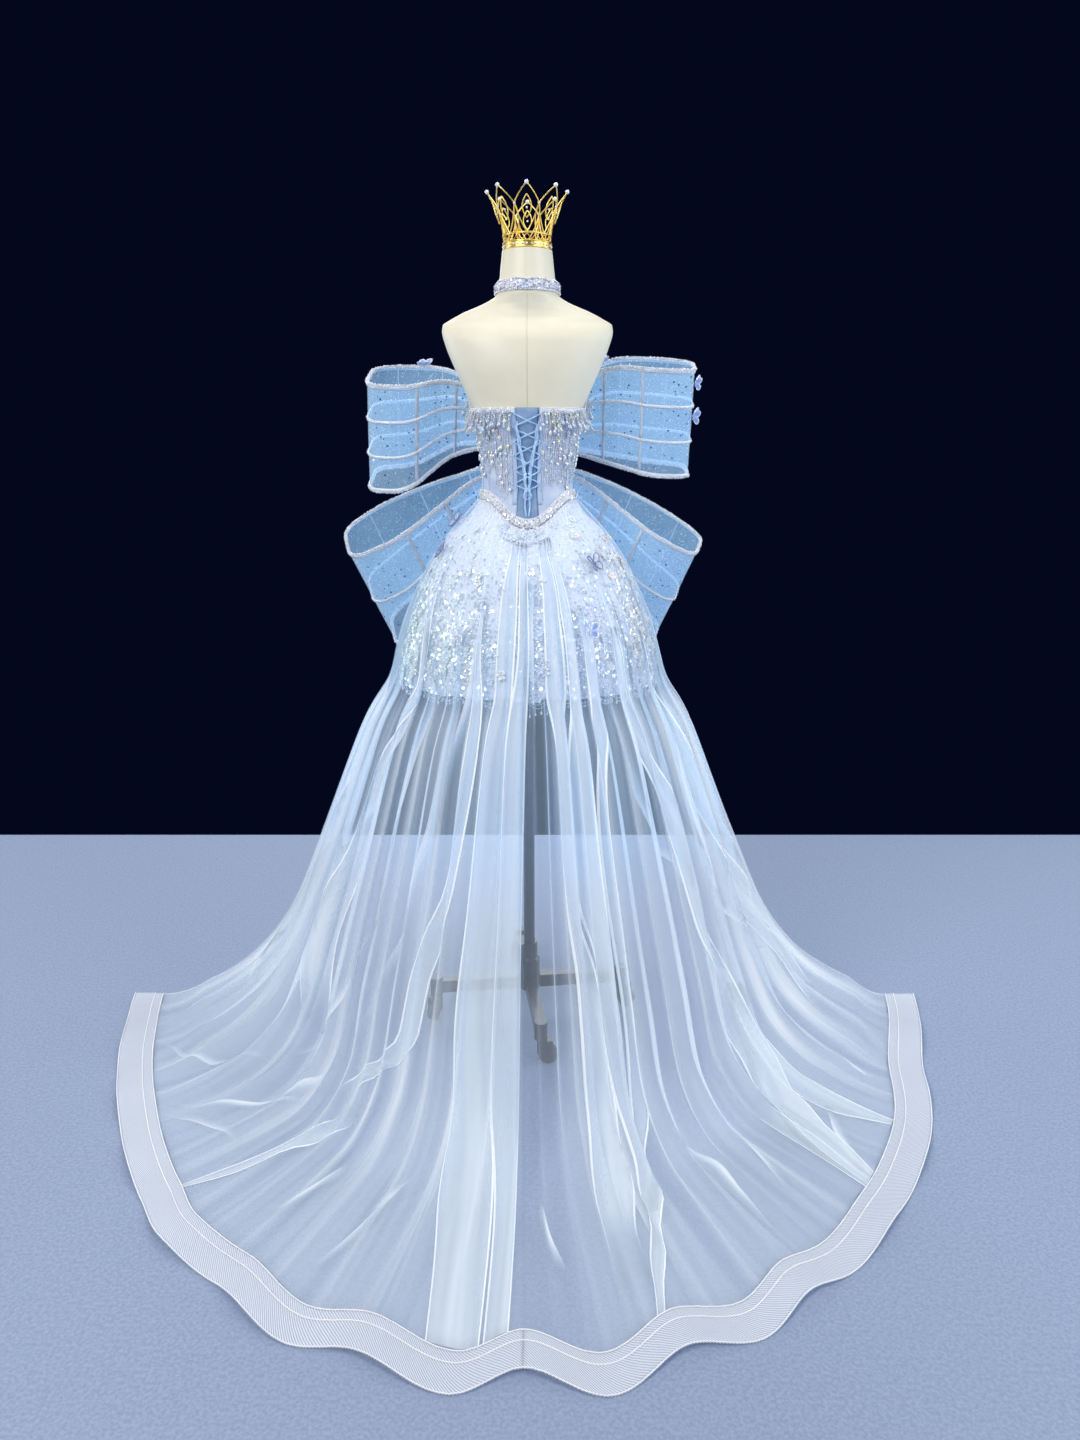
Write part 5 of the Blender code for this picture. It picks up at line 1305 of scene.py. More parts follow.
class DRESS_OT_fringe(bpy.types.Operator):
    """Model the fringe of crystal drops round the bodice's top edge"""

    bl_idname = "dress.fringe"
    bl_label = "Crystal fringe"

    def execute(self, context):
        clear = {"Metallic": 0.25, "Transmission_Weight": 0.25, "Coat_Weight": 0.8}
        crystal = Finish("fringe_crystal", (0.93, 0.96, 1.0), 0.06, **clear).tinted(CRYSTAL_STOPS)
        lace = Finish("fringe_lace", (0.80, 0.85, 0.96), 0.4, Sheen_Weight=0.4)
        lace.glittered(SILVER_STOPS, 420.0)
        out = FORM_CLEARANCE + BODICE_WALL + 1.5 * LAYER
        first, last = LACING_RIGHT + FRINGE_MARGIN, 360.0 + LACING_LEFT - FRINGE_MARGIN

        def strip(turn, share):
            return form_skin(turn, bodice_top(turn) - between(0.011, 0.001, share), out)

        band = cloth("fringe_band", strip, spread(first, last, 150), spread(0.0, 1.0, 3), 0.0022, lace)
        ride(band, "crystal_strings", "bodice_fringe")
        chance = random.Random(SEEDS["fringe"])
        beads, tips, turn = [], [], first + 1.2
        while turn < last - 1.2:
            root = strip(turn, chance.uniform(0.1, 0.7))
            away = (form_skin(turn, root.z, 0.01) - form_skin(turn, root.z)).normalized()
            root = root + away * 0.0028
            length, lean = chance.uniform(FRINGE_SHORT, FRINGE_LONG), chance.uniform(0.10, 0.46)
            down = Vector((chance.uniform(-0.12, 0.12), 0, -math.cos(lean)))
            fall = (away * math.sin(lean) + down).normalized()
            tint = chance.random() ** 1.5
            for point, _ in strung([root, root + fall * length], FRINGE_STEP):
                beads.append((perch(point, fall, away, chance.uniform(0.8, 1.1)), tint))
            tip = perch(root + fall * (length + 0.004), fall, away, chance.uniform(0.8, 1.2))
            tips.append((tip, chance.random()))
            turn += chance.uniform(1.7, 2.6)
        trim("fringe_beads", beads, crystal)
        trim("fringe_drops", tips, crystal)
        pearls = []
        for turn in spread(first, last, 190):
            point = form_skin(turn, bodice_top(turn) - 0.0005, out + 0.0015)
            pearls.append((perch(point, heading(turn), size=chance.uniform(0.8, 1.1)), chance.random()))
        white = Finish("edge_pearls", (0.93, 0.95, 1.0), 0.2, Coat_Weight=0.5).tinted(PEARL_STOPS)
        trim("edge_pearls", pearls, white)
        return {"FINISHED"}


class DRESS_OT_lacing(bpy.types.Operator):
    """Model the modesty panel, the crossed satin lacing, its eyelets, its knot and its two free ends"""

    bl_idname = "dress.lacing"
    bl_label = "Back lacing"

    def execute(self, context):
        grey = Finish("panel_cloth", (0.24, 0.39, 0.62), 0.6, Sheen_Weight=0.2)
        grey.mottled((0.20, 0.34, 0.57), (0.30, 0.45, 0.68), 30.0)
        grey.woven(800.0, 0.35)
        gap = 2 * half_seam()

        def skin(turn, share):
            return bodice_skin(turn, share, 0.0010)

        turns, rows = spread(LACING_LEFT + gap, LACING_RIGHT - gap, 8), spread(0.0, 1.0, 30)
        panel = cloth("back_panel", skin, turns, rows, 0.0012, grey)
        sewn(panel, "panel_grey_blue", ["modesty_panel"], "stretched")
        satin = Finish("lace_satin", (0.42, 0.68, 1.0), 0.22, Sheen_Weight=0.6, Anisotropic=0.4)
        satin.mottled((0.34, 0.60, 0.97), (0.56, 0.78, 1.0), 90.0)
        knot_at = form_skin(90, LACE_KNOT_AT, LACE_KNOT_OUT)
        runs, eyelets = [], []
        for side in (-1, 1):
            stops = []
            for step in range(LACE_CROSSINGS + 1):
                way = side * (1 if step % 2 == 0 else -1)
                turn = 90 + way * (90 - LACING_LEFT + LACE_PAST_EDGE)
                height = between(LACE_TOP, LACE_LOW, step / LACE_CROSSINGS)
                stops.append(form_skin(turn, height, LACE_LIFT))
                crossing = between(LACE_TOP, LACE_LOW, (step + 0.5) / LACE_CROSSINGS)
                stops.append(form_skin(90, crossing, LACE_LIFT + LACE_OVER[way > 0]))
                if step < LACE_CROSSINGS:
                    eye = form_skin(turn, height, FORM_CLEARANCE + BODICE_WALL + 0.0012)
                    flat = [Vector((cos_of(part), 0.0, sin_of(part))) for part in all_round(12)]
                    eyelets.append([eye + spot * 0.0026 for spot in flat])
            stops[-1] = knot_at
            runs.append(rounded(stops, 6))
        ride(wire("satin_lacing", runs, LACE_RADIUS, satin, sides=3), "lacing_satin", "back_lacing")
        bundles = []
        for side in (-1, 1):
            for strand in range(4):
                bundle = []
                for share in spread(0.0, 1.0, 30):
                    swing = 0.9 * math.sin(share * 15 + strand * 1.7 + side) * (1 - share * 0.4)
                    turn = 90 + side * (between(10.6, 3.0, ease(share * 1.05)) - 0.9 * (strand % 2) + swing)
                    lift = LACE_LIFT + 0.0010 + 0.0012 * strand + 0.0008 * math.sin(share * 11 + strand)
                    bundle.append(form_skin(turn, between(1.448 - 0.006 * strand, 1.322, share), lift))
                bundles.append(bundle)
            for reach, wide in ((0.034, 0.0052), (0.027, 0.0034), (-0.020, 0.0060)):
                loop = []
                for t in spread(0.0, 1.0, 12):
                    bow = math.sin(math.pi * t)
                    rise = reach * math.sin(math.pi * t / 2) ** 1.2
                    loop.append(knot_at + Vector((side * (0.0012 + wide * bow), 0.0035 + 0.0020 * bow, rise)))
                bundles.append(loop)
        ride(wire("satin_bundles", bundles, 0.0020, satin), "lacing_satin")
        silver = Finish("eyelet_metal", (0.75, 0.80, 0.90), 0.25, Metallic=0.9)
        ride(wire("lace_eyelets", eyelets, 0.0006, silver, closed=True), "tape_silver_white")
        knot = bmesh.new()
        for turn, size in ((0.0, 1.0), (62.0, 0.86), (-58.0, 0.86)):
            turned = Matrix.Rotation(math.radians(turn), 4, "Y")
            shape = Matrix.Diagonal((LACE_KNOT[0] * size, LACE_KNOT[1], LACE_KNOT[2] * 0.62, 1.0))
            place = Matrix.Translation(knot_at) @ turned @ shape
            bmesh.ops.create_uvsphere(knot, u_segments=16, v_segments=10, radius=1.0, matrix=place)
        ride(add_mesh("lace_knot", knot, satin), "lacing_satin")
        for name, side in (("left", 1), ("right", -1)):
            points = []
            for share in spread(0.0, 1.0, 18):
                height = between(LACE_KNOT_AT - LACE_KNOT[2] + TAIL_RISE, TAIL_END, share)
                point = form_skin(90, height, between(LACE_KNOT_OUT, LACE_LIFT, ease(share * 2)))
                apart = side * TAIL_APART * (1 + TAIL_SWING * math.sin(math.pi * share))
                points.append(point + Vector((apart, 0, 0)))
            tail = wire(f"lace_end_{name}", [points], LACE_RADIUS, satin, sides=3)
            ride(tail, "lacing_satin", f"lace_tail_{name}")
            length = sum((b - a).length for a, b in zip(points, points[1:]))
        return {"FINISHED"}


class DRESS_OT_skirt(bpy.types.Operator):
    """Model the lace mini skirt, its dipped waistband with piping, its flowers, sequins and hem drops"""

    bl_idname = "dress.skirt"
    bl_label = "Mini skirt"

    def execute(self, context):
        lace = Finish("skirt_lace", (0.82, 0.80, 0.86), 0.45, Sheen_Weight=0.4)
        cells = lace.node("TexVoronoi", {"feature": "DISTANCE_TO_EDGE"}, Vector=lace.place(), Scale=110.0)
        tones = ((0.0, (0.96, 0.95, 0.96)), (0.16, (0.80, 0.80, 0.88)), (0.6, (0.62, 0.64, 0.77)))
        lace.feed("Base Color", lace.ramp(cells.outputs["Distance"], tones))
        lace.bump(cells.outputs["Distance"], 0.5, 0.0010)
        for name, low in (("front", 180.0), ("back", 0.0)):
            first, last = low + half_seam(), low + 180.0 - half_seam()
            for kind, node, skin, grid, wall, held in (
                ("lace_skirt", "skirt", skirt_skin, (200, 34), SKIRT_WALL, "gathered"),
                ("waist", "waistband", waistband_skin, (240, 6), WAISTBAND_WALL, "stretched"),
            ):
                turns, rows = spread(first, last, grid[0]), spread(0.0, 1.0, grid[1])
                piece = cloth(f"{kind}_{name}", skin, turns, rows, wall, lace)
                sewn(piece, "lace_sequined", [f"{node}_{name}"], held)
        piping = Finish("waist_piping", (0.86, 0.88, 0.98), 0.35, Sheen_Weight=0.3)
        piping.mottled((0.78, 0.81, 0.96), (0.92, 0.94, 1.0), 120.0)
        strands = []
        for start in (0.0, math.pi):
            strand = []
            for turn in all_round(720):
                twist = math.radians(turn * 60) + start
                lift = WAISTBAND_WALL + 0.0006 * math.sin(twist)
                strand.append(waistband_skin(turn, 0.95 + 0.040 * math.cos(twist), lift))
            strands.append(strand)
        ride(wire("waist_piping", strands, 0.0008, piping, closed=True, sides=1), "lace_sequined")
        self.trims()
        return {"FINISHED"}

    def trims(self):
        chance = random.Random(SEEDS["skirt"])
        blush = ((0.0, (0.88, 1.0, 0.90)), (0.25, (0.94, 0.99, 1.0)), (0.5, (0.80, 0.85, 1.0)),
                 (0.72, (1.0, 0.98, 0.97)), (0.86, (1.0, 0.87, 0.74)), (1.0, (1.0, 0.95, 0.74)))
        shine = Finish("iridescent_sequins", (0.9, 0.95, 1.0), 0.14, Metallic=0.5, Coat_Weight=0.7)
        shine.tinted(blush)
        petals = Finish("flower_organza", (0.93, 0.96, 1.0), 0.25, Sheen_Weight=0.5, Coat_Weight=0.4)
        petals.tinted(blush)

        def tint_at(turn):
            """Mint at the wearer's left, lilac-white behind and peach at the right."""
            return min(1.0, max(0.0, turn / 180.0 * 0.9 + chance.uniform(-0.14, 0.14)))

        def put(turn, share, size, lift=0.0006):
            point = skirt_skin(turn, share, SKIRT_WALL + lift)
            away = tipped(normal_of(skirt_skin, turn, share, 1.0, 0.02), chance, 0.35)
            tint = tint_at(turn % 360) if turn % 360 < 180 else chance.uniform(0.2, 0.7)
            return perch(point, away, size=size, spin=chance.uniform(0, 6)), tint

        def behind_or_front(behind):
            """A turn at random, behind the wearer in the given share of draws."""
            return chance.uniform(0.0, 180.0) if chance.random() < behind else chance.uniform(180.0, 360.0)

        flowers, sequins = [], []
        for middle, wide, share, tall, count, tone in CLUSTERS.rows:
            for number in range(count):
                turn, height = chance.gauss(middle, wide), min(0.99, max(0.01, chance.gauss(share, tall)))
                spot, _ = put(turn, height, chance.uniform(0.6, 1.5))
                sequins.append((spot, min(1.0, max(0.0, tone + chance.uniform(-0.16, 0.16)))))
                if number % 14 == 0:
                    flowers.append((put(turn, height, chance.uniform(0.6, 1.1), 0.0012)[0], tone))
        for _ in range(210):
            turn = behind_or_front(0.72)
            share = chance.triangular(0.02, 0.96, 0.22)
            flowers.append(put(turn, share, chance.uniform(0.7, 1.35), 0.0010))
            for _ in range(6):
                spot = turn + chance.gauss(0, 2.6), min(0.99, max(0.01, share + chance.gauss(0, 0.035)))
                sequins.append(put(*spot, chance.uniform(0.8, 1.4)))
        for _ in range(sizes().skirt_sequins):
            turn = behind_or_front(0.74)
            share = min(0.995, max(0.004, chance.betavariate(1.1, 2.0)))
            sequins.append(put(turn, share, chance.uniform(0.6, 1.3)))
        for _ in range(700):
            turn = chance.uniform(0.0, 360.0)
            point = waistband_skin(turn, chance.uniform(0.06, 0.84), WAISTBAND_WALL + 0.0005)
            away = tipped(heading(turn), chance, 0.3)
            sequins.append((perch(point, away, size=chance.uniform(0.4, 0.8)), chance.uniform(0.3, 0.7)))
        trim("skirt_flowers", flowers, petals)
        trim("skirt_sequins", sequins, shine)
        beads, drops = [], []
        for turn in all_round(150):
            root = skirt_skin(turn, 0.0, 0.0008)
            length = chance.uniform(0.006, 0.014) + (0.016 if 84 < turn < 99 else 0.0)
            for point, _ in strung([root, root - UP * length], HEM_STEP):
                beads.append((perch(point, UP, heading(turn)), tint_at(turn % 180)))
            drop = perch(root - UP * (length + 0.003), UP, heading(turn), chance.uniform(0.7, 1.2))
            drops.append((drop, chance.random()))
        width = 360.0 / SCALLOPS
        for scallop in range(2 * SCALLOPS):
            for depth in (0.009, 0.017):
                line = []
                for t in spread(0.0, 1.0, 10):
                    root = skirt_skin((scallop / 2 + t / 2) * width, 0.0, 0.0012)
                    line.append(root - UP * (depth * math.sin(math.pi * t)))
                for point, along in strung(line, HEM_STEP):
                    beads.append((perch(point, along, heading(scallop / 2 * width)), chance.random()))
        crystal = Finish("hem_crystal", (0.92, 0.95, 1.0), 0.08, Metallic=0.3, Coat_Weight=0.8)
        crystal.tinted(CRYSTAL_STOPS)
        trim("hem_beads", beads, crystal)
        trim("hem_drops", drops, crystal)
        waist = []
        for turn in all_round(84):
            point = waistband_skin(turn, chance.uniform(0.3, 0.7), WAISTBAND_WALL + 0.0004)
            spot = perch(point, heading(turn), size=chance.uniform(0.5, 0.9), spin=chance.uniform(0, 6))
            waist.append((spot, chance.uniform(0.1, 0.6)))
        for number in range(60):
            turn = chance.gauss(90, 17) if number < 30 else chance.gauss(90, 5)
            waist.append(put(turn, chance.uniform(0.90, 0.985), chance.uniform(0.8, 1.5), 0.0012))
        trim("waist_flowers", waist, petals)


class DRESS_OT_train(bpy.types.Operator):
    """Model the train's tulle gores, its laps and creases, its rolled front edges and its stiff hem braid"""

    bl_idname = "dress.train"
    bl_label = "Tulle train"

    def execute(self, context):
        # The tulle has a painted glow: its emission stands in for light scattered through the net
        tulle = Finish(
            "train_tulle", tuple(sizes().tulle), 0.55, Sheen_Weight=0.3, Specular_IOR_Level=0.35,
            Emission_Color=TULLE_PAINTED_GLOW, Emission_Strength=0.22,
        )
        # Painted light: the net's colour changes with height, pale grey near the floor and blue where it
        # hangs
        tulle.streaked(26.0, 0.7, (0.60, 0.67, 0.76), tuple(sizes().tulle), (0.92, 0.92, 0.91))
        tulle.woven(520.0, 0.2)
        rows = spread(0.0, 1.0, 78)
        for low, high, name in GORES:
            turns = spread(low, high, 116)
            gore = cloth(f"tulle_{name}", train_skin, turns, rows, TULLE_WALL, tulle, cover=tulle_cover)
            sewn(gore, "tulle_white", [f"train_{name}"], "gathered")
        self.laps(tulle)
        self.creases(tulle)
        hem = Finish("rolled_hem", (0.90, 0.94, 1.0), 0.4, Alpha=0.85)
        hem.mottled((0.86, 0.90, 0.98), (0.96, 0.98, 1.0), 100.0)
        edges = [[train_skin(turn, share) for share in rows] for turn in (TRAIN_FROM + 0.15, TRAIN_TO - 0.15)]
        ride(wire("front_edges", edges, 0.0011, hem), "tulle_white")
        braid = Finish("hem_braid", (0.84, 0.90, 1.0), 0.38, Sheen_Weight=0.4)
        weave = braid.bands("DIAGONAL", braid.place("UV"), 120.0, 1.5)
        braid.feed("Base Color", braid.ramp(weave, ((0.2, (0.70, 0.78, 0.95)), (0.8, (0.90, 0.93, 0.99)))))
        braid.feed("Alpha", braid.ramp(weave, ((0.0, (0.42,) * 3), (0.7, (0.72,) * 3))))
        braid.bump(weave, 0.5, 0.0008)
        gap = half_seam(1.0)
        for name, low, high in (("left", TRAIN_FROM, 90.0), ("right", 90.0, TRAIN_TO)):
            piece = cloth(f"braid_{name}", lambda turn, share: braid_skin(turn, 1 - share),
                          spread(low + gap, high - gap, 220), spread(0.0, 1.0, 10), BRAID_WALL, braid)
            sewn(piece, "braid_white", [f"hem_braid_{name}"], "laid")
        cord = Finish("braid_cord", (0.95, 0.97, 1.0), 0.3)
        cord.mottled((0.90, 0.93, 1.0), (0.99, 0.99, 1.0), 140.0)
        turns = spread(TRAIN_FROM + 0.1, TRAIN_TO - 0.1, 420)
        lines = []
        for share in (0.02, 0.30, 0.985):
            lines.append([braid_skin(turn, share, BRAID_WALL + 0.0006) for turn in turns])
        ride(wire("braid_cords", lines, 0.0012, cord, sides=1), "braid_white")
        return {"FINISHED"}

    def laps(self, tulle):
        """Doubled folds with bright edges."""
        inside = [(part, 0.0) for part in spread(0.0, 1.0, 7)[1:-1]]
        rims = [0.0, LAP_RIM, 1.4 * LAP_RIM]
        across = [*((0.0, rim) for rim in rims), *inside, *((1.0, -rim) for rim in reversed(rims))]
        for number, rows in enumerate(LAPS, start=1):
            shares, lows, highs = zip(*rows)

            def place(step, share):
                low, high = smooth_through(shares, lows, share), smooth_through(shares, highs, share)
                middle = train_skin((low + high) / 2, share)
                metres = math.degrees(step[1] / math.hypot(middle.x, middle.y))
                metres = min(abs(metres), (high - low) / 2.2) * (1 if metres > 0 else -1)
                turn = between(low, high, step[0]) + metres
                return train_skin(turn, share, 0.0014 + 0.0016 * math.sin(math.pi * step[0]))

            def cover(step, share):
                on_edge = step[0] in (0.0, 1.0) and abs(step[1]) <= LAP_RIM
                low_end = ease((share - shares[0]) / 0.07) if shares[0] > 0 else 1.0
                most = LAP_EDGE_COVER if on_edge else LAP_COVER
                return most * low_end * ease((shares[-1] - share) / 0.05)

            cells = max(12, round((shares[-1] - shares[0]) * 90))
            up = spread(shares[0], shares[-1], cells)
            lap = cloth(f"tulle_lap_{number}", place, across, up, TULLE_WALL, tulle, cover=cover)
            sewn(lap, "tulle_white", [], "folded")

    def creases(self, tulle):
        """Narrow soft folds, bright along one edge and fading away from it."""
        lines = [rounded([Vector((*spot, 0.0)) for spot in spots], 12) for spots in CREASES]
        parts = (0.0, 0.12, 0.35, 0.65, 1.0)

        def place(step, part):
            line = lines[step[0]]
            at = min(len(line) - 2, int(part * (len(line) - 1)))
            here = line[at].lerp(line[at + 1], part * (len(line) - 1) - at)
            run = line[at + 1] - line[at]
            radius = math.hypot(*train_skin(here.x, here.y).xy)
            way = Vector((-run.y * TRAIN_LONG, math.radians(run.x) * radius)).normalized()
            way *= CREASE_WIDE * math.sin(math.pi * part) ** 0.5 * step[1] * (1 if step[0] % 2 else -1)
            turn = min(TRAIN_TO, max(TRAIN_FROM, here.x + math.degrees(way.x / radius)))
            return train_skin(turn, min(0.99, max(0.003, here.y + way.y / TRAIN_LONG)), 0.0012)

        def cover(step, part):
            return between(CREASE_COVER, 0.0, ease(step[1] * 1.1)) * math.sin(math.pi * part) ** 1.4

        across = [(number, part) for number in range(len(lines)) for part in parts]
        folds = cloth("train_creases", place, across, spread(0.0, 1.0, 36), TULLE_WALL, tulle, cover=cover,
                      keep=lambda column, row: column % len(parts) != len(parts) - 1)
        ride(folds, "tulle_white")


class DRESS_OT_bow(bpy.types.Operator):
    """Model the bow's organza loops, their glittering tapes, beaded rims, sequins and knot"""

    bl_idname = "dress.bow"
    bl_label = "Boned bow"

    def execute(self, context):
        # Painted glow: the organza's emission stands in for light scattered through it
        organza_painted_glow = {"Emission_Color": (0.34, 0.62, 0.95, 1.0), "Emission_Strength": 0.34}
        organza = Finish("bow_organza", tuple(sizes().organza), 0.3, Sheen_Weight=0.5, **organza_painted_glow)
        organza.specked((0.42, 0.68, 0.96), (0.54, 0.79, 1.0), sizes().organza_cover, 300.0)
        organza.woven(900.0, 0.3)
        tape = Finish("boning_tape", (0.85, 0.90, 0.98), 0.32, Metallic=0.1)
        tape.glittered(SILVER_STOPS, 520.0, 0.8)
        cross = Finish("cross_tape", (0.76, 0.83, 0.92), 0.4, Alpha=0.85, Sheen_Weight=0.3)
        cross.mottled((0.64, 0.74, 0.88), (0.82, 0.88, 0.97), 60.0)
        cross.woven(1200.0, 0.4)
        rim = Finish("rim_beads", (0.93, 0.96, 1.0), 0.2, Metallic=0.1, Coat_Weight=0.5).tinted(SILVER_STOPS)
        sequin = Finish("bow_sequins", (0.3, 0.45, 0.8), 0.12, Metallic=0.5, Coat_Weight=0.6)
        sequin.tinted(DARK_STOPS)
        for number, name in enumerate(LOOP_NAMES):
            self.loop(number, name, organza, tape, cross)
            self.rims(number, name, rim)
            self.sequins(number, name, sequin)
        self.knot(organza)
        return {"FINISHED"}

    def loop(self, number, name, organza, tape, cross):
        edges = {round(path + edge, 5) for path in CROSS_TAPES for edge in (-TAPE_STEP, TAPE_STEP)}
        even = {round(path, 5) for path in spread(-1.0, 1.0, 120)}
        steps = sorted(edges | {path for path in even if all(abs(path - edge) > 0.004 for edge in edges)})
        left = loop_sizes(number)["side"] > 0

        def above(lift):
            """The loop's surface, lifted, by its path and by a share of its width with metres beyond it."""
            return lambda path, spot: loop_skin(number, path, *spot, lift)

        plain = [(share, 0.0) for share in spread(0.0, 1.0, 18)]
        panel = cloth(f"organza_{name}", above(0.0), steps, plain, ORGANZA_WALL, organza, flip=left)
        sewn(panel, "organza_sky_blue", [f"bow_loop_{name}"], "stretched")
        rows, width = loop_sizes(number)["rows"], 2 * TAPE_HALF
        up = [(0.0, 0.0), (0.0, width)]
        for row in range(1, rows):
            up += [(row / rows, -TAPE_HALF), (row / rows, TAPE_HALF)]
        up += [(1.0, -width), (1.0, 0.0)]
        fine = [up[0]]
        for low, high in zip(up, up[1:]):
            for t in spread(0.0, 1.0, 1 if low[0] == high[0] else 6)[1:]:
                fine.append((between(low[0], high[0], t), between(low[1], high[1], t)))
        inner = [path for path in steps if abs(path) < 0.87]
        starts = [centre - TAPE_STEP for centre in CROSS_TAPES]
        crossing = set()
        for column, path in enumerate(inner):
            if any(abs(path - start) < 1e-4 for start in starts):
                crossing.add(column)
        taped = {place for place, (low, high) in enumerate(zip(fine, fine[1:])) if low[0] == high[0]}
        piece = cloth(f"tapes_{name}", above(ORGANZA_WALL + 0.0003), inner, fine, TAPE_WALL, tape, flip=left,
                      keep=lambda column, row: row in taped)
        ride(piece, "tape_silver_white", f"bow_tapes_{name}")
        stays = cloth(f"stays_{name}", above(ORGANZA_WALL + 0.0001), inner, fine, TAPE_WALL, cross, flip=left,
                      keep=lambda column, row: column in crossing and row not in taped)
        ride(stays, "tape_silver_white")

    def rims(self, number, name, finish):
        chance = random.Random(SEEDS["rims"] + number)
        places = []
        rows = loop_sizes(number)["rows"]
        lines = [(0.0, -0.0006, 0.0026, 3), (1.0, 0.0006, 0.0026, 3)]
        lines += [(row / rows, 0.0, 0.0012, 2) for row in range(1, rows)]
        for share, metres, thick, strands in lines:
            lift = ORGANZA_WALL if strands > 2 else ORGANZA_WALL + TAPE_WALL + 0.0006
            line = [loop_skin(number, path, share, metres, lift) for path in spread(-0.88, 0.88, 160)]
            for strand in range(strands):
                for count, (point, along) in enumerate(strung(line, RIM_STEP)):
                    angle = count * 1.1 + strand * math.tau / strands
                    off = Matrix.Rotation(angle, 3, along) @ along.orthogonal().normalized()
                    size = chance.uniform(0.7, 1.3) * (1.0 if strands > 2 else 0.62)
                    places.append((perch(point + off * thick, along, off, size), chance.random()))
        trim(f"rim_{name}", places, finish, "rim")

    def sequins(self, number, name, finish):
        chance = random.Random(SEEDS["sequins"] + number)
        places = []
        for _ in range(sizes().loop_sequins):
            path, share = chance.uniform(-0.85, 0.85), chance.uniform(0.03, 0.97)
            point = loop_skin(number, path, share, 0.0, ORGANZA_WALL + 0.0003)
            away = tipped(loop_station(number, round(path, 5))[3], chance, 0.2)
            dark = chance.random() < 0.45
            tint = chance.uniform(0.0, 0.35) if dark else chance.uniform(0.6, 1.0)
            size = chance.uniform(0.5, 1.0) if dark else chance.uniform(0.3, 0.8)
            places.append((perch(point, away, size=size), tint))
        trim(f"sequins_{name}", places, finish, "sequins")

    def knot(self, organza):
        high, middle = (KNOT_TOP - KNOT_LOW) / 2, (KNOT_TOP + KNOT_LOW) / 2
        part = 2.0 / KNOT_SQUARENESS
        wrap = Finish("knot_organza", tuple(sizes().organza), 0.32, Sheen_Weight=0.5)
        wrap.mottled((0.22, 0.45, 0.86), (0.40, 0.62, 0.95), 14.0)
        wrap.woven(900.0, 0.3)

        def skin(turn, across):
            angle = math.radians(turn)
            y = KNOT_HALF_DEEP * math.copysign(abs(math.cos(angle)) ** part, math.cos(angle))
            z = high * math.copysign(abs(math.sin(angle)) ** part, math.sin(angle))
            pleat = 0.0012 * math.cos(across * 420 + 1.5 * wander(turn / 40, across * 20))
            swell = 1.0 + KNOT_SWELL * (across / KNOT_HALF_WIDE) ** 2
            swell += pleat / KNOT_HALF_DEEP * (math.cos(angle) < 0.2)
            return Vector((across, KNOT_Y + y * swell, middle + z * swell))

        piece = cloth("bow_wrap", skin, spread(0.0, 360.0, 84), spread(-KNOT_HALF_WIDE, KNOT_HALF_WIDE, 44),
                      KNOT_WALL, wrap, flip=True, weld=True)
        ride(piece, "organza_sky_blue", "bow_knot")


class DRESS_OT_choker(bpy.types.Operator):
    """Model the lace choker with its pearls, small flowers and sequins"""

    bl_idname = "dress.choker"
    bl_label = "Choker"

    def execute(self, context):
        lace = Finish("choker_lace", (0.70, 0.75, 0.90), 0.4, Sheen_Weight=0.2)
        tones = ((0.0, (0.70, 0.74, 0.86)), (0.35, (0.36, 0.41, 0.60)), (0.65, (0.86, 0.89, 0.96)))
        lace.glittered(tones, 420.0)

        def skin(turn, share, out=0.0012):
            low = CHOKER_LOW + CHOKER_TILT * sin_of(turn)
            scallop = CHOKER_SCALLOP * abs(sin_of(turn * CHOKER_WAVES / 2))
            return form_skin(turn, low + (CHOKER_HIGH + scallop) * share, out)

        turns, rows = spread(0.0, 360.0, 144), spread(0.0, 1.0, 6)
        ride(cloth("lace_choker", skin, turns, rows, 0.0018, lace, weld=True), "lace_sequined", "choker")
        chance = random.Random(SEEDS["choker"])
        pearls = [
            (perch(skin(turn, share, 0.0036), heading(turn), size=size), chance.random())
            for share, size in ((0.02, 0.8), (0.98, 0.9))
            for turn in all_round(96)
        ]
        pearl = Finish("choker_pearls", (0.94, 0.95, 1.0), 0.2, Coat_Weight=0.6).tinted(PEARL_STOPS)
        trim("choker_pearls", pearls, pearl)
        bloom = Finish("choker_blooms", (0.7, 0.75, 1.0), 0.3, Sheen_Weight=0.4)
        bloom.tinted(((0.0, (0.97, 0.98, 1.0)), (0.5, (0.66, 0.70, 0.92)), (1.0, (0.90, 0.93, 0.98))))
        places = []
        for turn in all_round(34):
            point = skin(turn, chance.uniform(0.35, 0.65), 0.0034)
            spot = perch(point, heading(turn), size=chance.uniform(0.7, 1.2), spin=chance.uniform(0, 6))
            places.append((spot, chance.random()))
        trim("choker_blooms", places, bloom)
        glints = []
        for turn in all_round(240):
            away = tipped(heading(turn), chance, 0.7)
            point = skin(turn, chance.uniform(0.05, 1.0), 0.0042)
            glints.append((perch(point, away, size=chance.uniform(0.7, 1.2)), chance.random()))
        silver = Finish("choker_sequins", (0.92, 0.95, 1.0), 0.16, Metallic=0.5, Coat_Weight=0.6)
        silver.tinted(CRYSTAL_STOPS)
        trim("choker_sequins", glints, silver)
        return {"FINISHED"}


